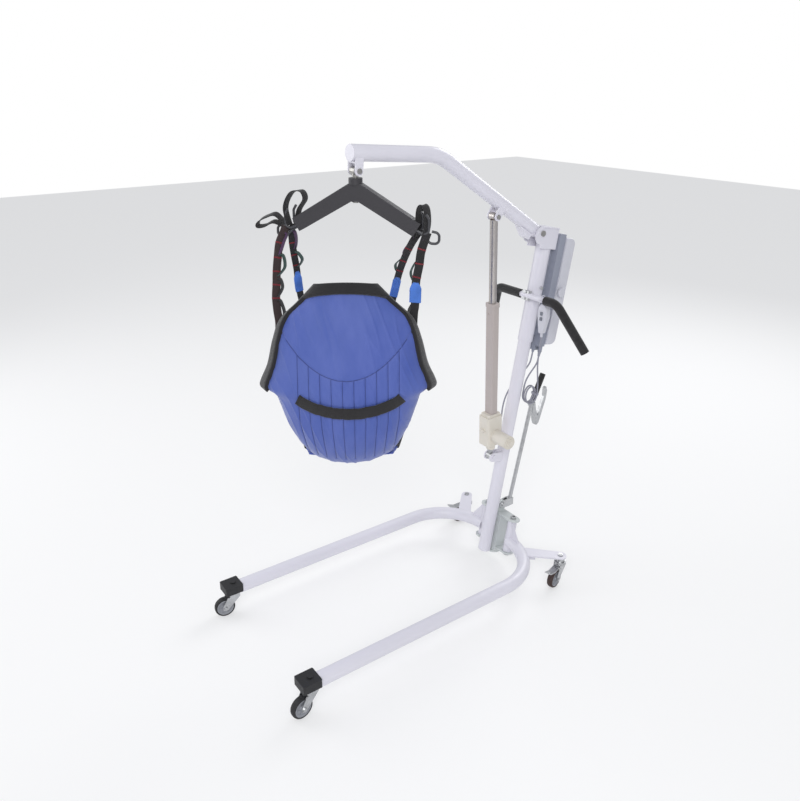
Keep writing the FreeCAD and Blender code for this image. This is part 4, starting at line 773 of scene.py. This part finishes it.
# leg flaps: rows from under the seat, forward and up to the tip where the strap is sewn on
FLAP_ROWS = [
    (0.00, -0.010, 0.664, 0.070, 0.010), (0.15, 0.040, 0.662, 0.074, 0.014),
    (0.32, 0.096, 0.688, 0.078, 0.018), (0.50, 0.128, 0.745, 0.076, 0.022),
    (0.70, 0.148, 0.815, 0.066, 0.022), (0.88, 0.162, 0.880, 0.046, 0.014),
    (1.00, 0.168, 0.920, 0.022, 0.004),
]


def flap_surface(sign):
    def point(across, share):
        y, z, half, forward = along_rows(FLAP_ROWS, share)
        middle = sign * (0.074 + 0.048 * min(share * 1.6, 1.0))
        return in_sling(middle + across * half, y - forward * (1 - across * across) * 0.8 + 0.01, z)
    return point


def leg_flap(sign):
    tag = "left" if sign > 0 else "right"
    surface = flap_surface(sign)
    vertices, faces = grid(24, 48, surface)
    made = piece("sling_flap_" + tag, vertices, faces, BLUE, "")
    modify(made, "SOLIDIFY", thickness=0.008, offset=-1)
    border = [surface(side, j / 60) for side in (-1, 1) for j in range(61)]
    border += [surface(-1 + i / 12, end) for end in (0, 1) for i in range(25)]
    tree = KDTree(len(border))
    for i, co in enumerate(border):
        tree.insert(co, i)
    tree.balance()
    swell(made, 0.0055, 4.0, 0.006, lambda co: max(0.0, min(1.0, 1 - (tree.find(co)[2] - 0.010) / 0.02)))
    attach(made, "spreader")
    wrap_edge("flap_binding_" + tag, surface, lambda t: flap_outline(t, 0.0),
              lambda t: flap_outline(t, 1.0), 110)
    return made


def wrap_edge(name, point, first, last, steps):
    """Binding folded round the border of a padded sheet: first runs along it, last a little inside."""
    vertices, faces = [], []
    for i in range(steps + 1):
        t = i / steps
        a, b = point(*first(t)), point(*last(t))
        ahead = point(*first(min(t + 0.006, 1))) - point(*first(max(t - 0.006, 0)))
        inward = b - a
        normal = ahead.cross(inward).normalized()
        out = -inward.normalized()
        for share, lift in ((1.0, 0.0006), (0.97, 0.0022), (0.66, 0.0026), (0.33, 0.0028), (0.0, 0.0030)):
            vertices.append(a + inward * share + normal * lift)
        vertices.append(a + out * 0.0035 - normal * 0.0010)
        vertices.append(a + out * 0.0035 - normal * 0.0080)
        for share, lift in ((0.0, 0.0122), (0.33, 0.0120), (0.66, 0.0118), (0.97, 0.0112), (1.0, 0.0090)):
            vertices.append(a + inward * share - normal * lift)
    for i in range(steps):
        for k in range(11):
            faces.append((i * 12 + k, i * 12 + k + 1, (i + 1) * 12 + k + 1, (i + 1) * 12 + k))
    faces.append(tuple(range(12)))
    faces.append(tuple(steps * 12 + k for k in reversed(range(12))))
    for i in range(steps):
        faces.append((i * 12 + 11, i * 12, (i + 1) * 12, (i + 1) * 12 + 11))
    return piece(name, vertices, faces, WEB_BLACK, "spreader")


def flap_outline(t, inset):
    """Along one side of the flap, over its tip and down the other side."""
    if t < 0.44:
        return (-1 + inset * 0.22, 0.16 + (0.84 - inset * 0.05) * t / 0.44)
    if t > 0.56:
        return (1 - inset * 0.22, 1 - inset * 0.05 - (0.84 - inset * 0.05) * (t - 0.56) / 0.44)
    return ((-1 + inset * 0.22) + (2 - inset * 0.44) * (t - 0.44) / 0.12, 1 - inset * 0.05)


def outline(t, inset):
    """Up one side edge of the seat, across its top and down the other side; inset is 0 at the edge."""
    end, side, top = 0.475, 0.21, 0.042
    if t < 0.42:
        return (-1 + inset * side, end - (end - inset * top) * t / 0.42)
    if t > 0.58:
        return (1 - inset * side, inset * top + (end - inset * top) * (t - 0.58) / 0.42)
    return ((-1 + inset * side) + (2 - inset * 2 * side) * (t - 0.42) / 0.16, inset * top)


wrap_edge("sling_binding", seat_surface, lambda t: outline(t, 0.0), lambda t: outline(t, 1.0), 200)
for sign in (-1, 1):
    leg_flap(sign)


# ---------------------------------------------------------------- straps

def hang(name, points, width, look, sideways=(1, 0, 0), thick=0.0028, steps=8):
    """A strap through points given in the spreader bar's axes."""
    line = smooth_path([in_bar(*p) for p in points], steps)
    side = BAR_TURN.to_3x3() @ Vector(sideways)
    vertices, faces = ribbon(line, side, width, thick)
    return piece(name, vertices, faces, look, "spreader")


def between(line, start, end, steps=8):
    """The part of a strap's line between two heights, start above end."""
    return [p for p in smooth_path([in_bar(*q) for q in line], steps) if end <= p.z <= start]


SHOULDER_WIDE, THIGH_WIDE = 0.026, 0.022
STRAPS = {
    "straps_right": {
        "shoulder": [(-0.226, -0.0085, 1.434), (-0.232, -0.012, 1.415), (-0.2445, -0.021, 1.383),
                     (-0.248, -0.033, 1.338), (-0.249, -0.045, 1.297), (-0.247, -0.057, 1.259),
                     (-0.246, -0.069, 1.219), (-0.239, -0.081, 1.180), (-0.230, -0.093, 1.148),
                     (-0.227, -0.105, 1.116), (-0.226, -0.117, 1.088)],
        "thigh": [(-0.206, 0.0085, 1.438), (-0.214, 0.010, 1.417), (-0.2185, 0.020, 1.376),
                  (-0.218, 0.031, 1.330),
                  (-0.217, 0.043, 1.286), (-0.217, 0.055, 1.222), (-0.214, 0.068, 1.170), (-0.206, 0.085, 1.080),
                  (-0.197, 0.104, 0.985), (-0.191, 0.118, 0.905)],
    },
    "straps_left": {
        "shoulder": [(0.222, -0.0085, 1.434), (0.214, -0.0085, 1.410), (0.203, -0.0085, 1.373),
                     (0.198, -0.0085, 1.334), (0.192, -0.0085, 1.303), (0.188, -0.0085, 1.275),
                     (0.186, -0.0085, 1.210), (0.183, -0.009, 1.185), (0.181, -0.010, 1.143),
                     (0.182, -0.012, 1.100)],
        "thigh": [(0.198, 0.0085, 1.438), (0.174, 0.0085, 1.402), (0.152, 0.024, 1.363), (0.132, 0.040, 1.320),
                  (0.116, 0.055, 1.277), (0.104, 0.070, 1.238), (0.088, 0.088, 1.180), (0.068, 0.120, 1.075),
                  (0.050, 0.152, 0.985), (0.042, 0.176, 0.905)],
    },
}


def side_loop(name, sign, top, bottom, bulge, look, line, width=0.014):
    """A sewn-on loop beside a strap, from one stitched place to the next."""
    inner = between(line, top, bottom)
    start, middle, end = inner[0], inner[len(inner) // 2], inner[-1]
    push = BAR_TURN.to_3x3() @ Vector((-sign * bulge, 0.006, 0))
    lift = BAR_TURN.to_3x3() @ Vector((-sign * 0.003, 0.003, 0))
    path = smooth_path([start + lift, start + lift + push * 0.6 + Vector((0, 0, -0.008)), middle + push + lift,
                        end + lift + push * 0.5 + Vector((0, 0, 0.010)), end + lift], 8)
    vertices, faces = ribbon(path, BAR_TURN.to_3x3() @ Vector((0.30, 1, 0)), width, 0.0020)
    piece(name, vertices, faces, look, "spreader")


def stitches(name, line, heights, width, sideways, thick=0.0028):
    """Short red bar tacks across a strap."""
    parts = []
    side = BAR_TURN.to_3x3() @ Vector(sideways)
    path = smooth_path([in_bar(*q) for q in line], 24)
    for height in heights:
        near = min(range(1, len(path) - 1), key=lambda i: abs(path[i].z - height))
        along = (path[near + 1] - path[near - 1]).normalized()
        for row in (-0.0013, 0.0013):
            points = [path[near] + along * (row + k) for k in (-0.0005, 0, 0.0005)]
            parts.append(ribbon(points, side, width * 1.04, thick * 1.5))
    vertices, faces = merge(*parts)
    piece(name, vertices, faces, THREAD, "spreader")


def tab(name, line, top, bottom, width, sideways):
    """A blue sleeve sewn round a strap, with a short pointed end."""
    points = between(line, top, bottom)
    widths = [width * min(1.0, 0.45 + 0.55 * i / 3) for i in range(len(points))]
    vertices, faces = ribbon(points, BAR_TURN.to_3x3() @ Vector(sideways), widths, 0.0062)
    piece(name, vertices, faces, BLUE_TAB, "spreader")


# the sewn-on loops from the hook down: name, height of top and end, how far it stands out, and its strap
LOOPS = (
    ("loop_purple_", 1.415, 1.340, 0.008, PURPLE, "shoulder"),
    ("loop_green_", 1.352, 1.280, 0.020, GREEN, "shoulder"),
    ("loop_black_", 1.282, 1.218, 0.014, WEB_BLACK, "shoulder"),
    ("loop_low_", 1.218, 1.140, 0.016, WEB_BLACK, "shoulder"),
    ("loop_thigh_purple_", 1.420, 1.350, 0.008, PURPLE, "thigh"),
    ("loop_thigh_green_", 1.350, 1.290, 0.018, GREEN, "thigh"),
)
# the heights of the bar tacks on each strap, and its width
TACKS = (
    ("shoulder", (1.383, 1.338, 1.297, 1.258, 1.218), SHOULDER_WIDE),
    ("thigh", (1.376, 1.335, 1.300), THIGH_WIDE),
)

for node, lines in STRAPS.items():
    sign = 1 if node.endswith("left") else -1
    tag = node.replace("straps_", "")
    flat = (1, 0.1, 0) if sign > 0 else (0.75, 0.66, 0)
    look = WEB_BLACK if sign > 0 else WEB_BROWN
    main = hang("strap_shoulder_" + tag, lines["shoulder"], SHOULDER_WIDE, look, flat)
    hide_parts(node)
    hang("strap_thigh_" + tag, lines["thigh"], THIGH_WIDE, WEB_BLACK, flat)
    for kind, heights, width in TACKS:
        stitches("tacks_%s_%s" % (kind, tag), lines[kind], heights, width, flat)
    for name, top, bottom, bulge, look, kind in LOOPS:
        side_loop(name + tag, sign, top, bottom, bulge, look, lines[kind])
    tab("tab_thigh_" + tag, lines["thigh"], 1.282, 1.205, 0.026, flat)
tab("tab_shoulder_left", STRAPS["straps_left"]["shoulder"], 1.284, 1.212, 0.036, (1, 0.1, 0))
hang("spare_loop_high", [(-0.196, 0.006, 1.428), (-0.186, 0.008, 1.480), (-0.163, 0.004, 1.516),
                         (-0.172, 0.000, 1.540), (-0.203, -0.004, 1.534), (-0.224, -0.006, 1.490),
                         (-0.214, -0.004, 1.436)],
     THIGH_WIDE, WEB_BLACK, (0.5, 1, 0))
hang("spare_loop_low", [(-0.232, -0.008, 1.436), (-0.262, -0.012, 1.446), (-0.290, -0.018, 1.434),
                        (-0.312, -0.020, 1.432), (-0.308, -0.016, 1.448), (-0.283, -0.012, 1.462),
                        (-0.256, -0.008, 1.468), (-0.232, -0.004, 1.444)],
     THIGH_WIDE, WEB_BLACK, (0.2, 1, 0.4))
hang("spare_loop_left", [(0.196, 0.004, 1.420), (0.193, 0.004, 1.468), (0.196, 0.002, 1.500), (0.206, 0.000, 1.512),
                         (0.217, -0.002, 1.500), (0.221, -0.004, 1.462), (0.215, -0.004, 1.420)],
     SHOULDER_WIDE, WEB_BLACK, (0.8, 1, 0))


# ---------------------------------------------------------------- carrying handle

HANDLE = []
for t in np.linspace(-1, 1, 33):
    place = on_back(0.009 + 0.158 * t, 0.945 - 0.038 * (1 - t * t) ** 0.8, 0.0042 + 0.004 * (1 - t ** 4))[0]
    if place is not None:
        HANDLE.append(place)
vertices, faces = ribbon(HANDLE, (0, 0, 1), 0.036, 0.0034)
handle = piece("sling_grab_strap", vertices, faces, WEB_BLACK, "spreader")
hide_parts("sling_handle")
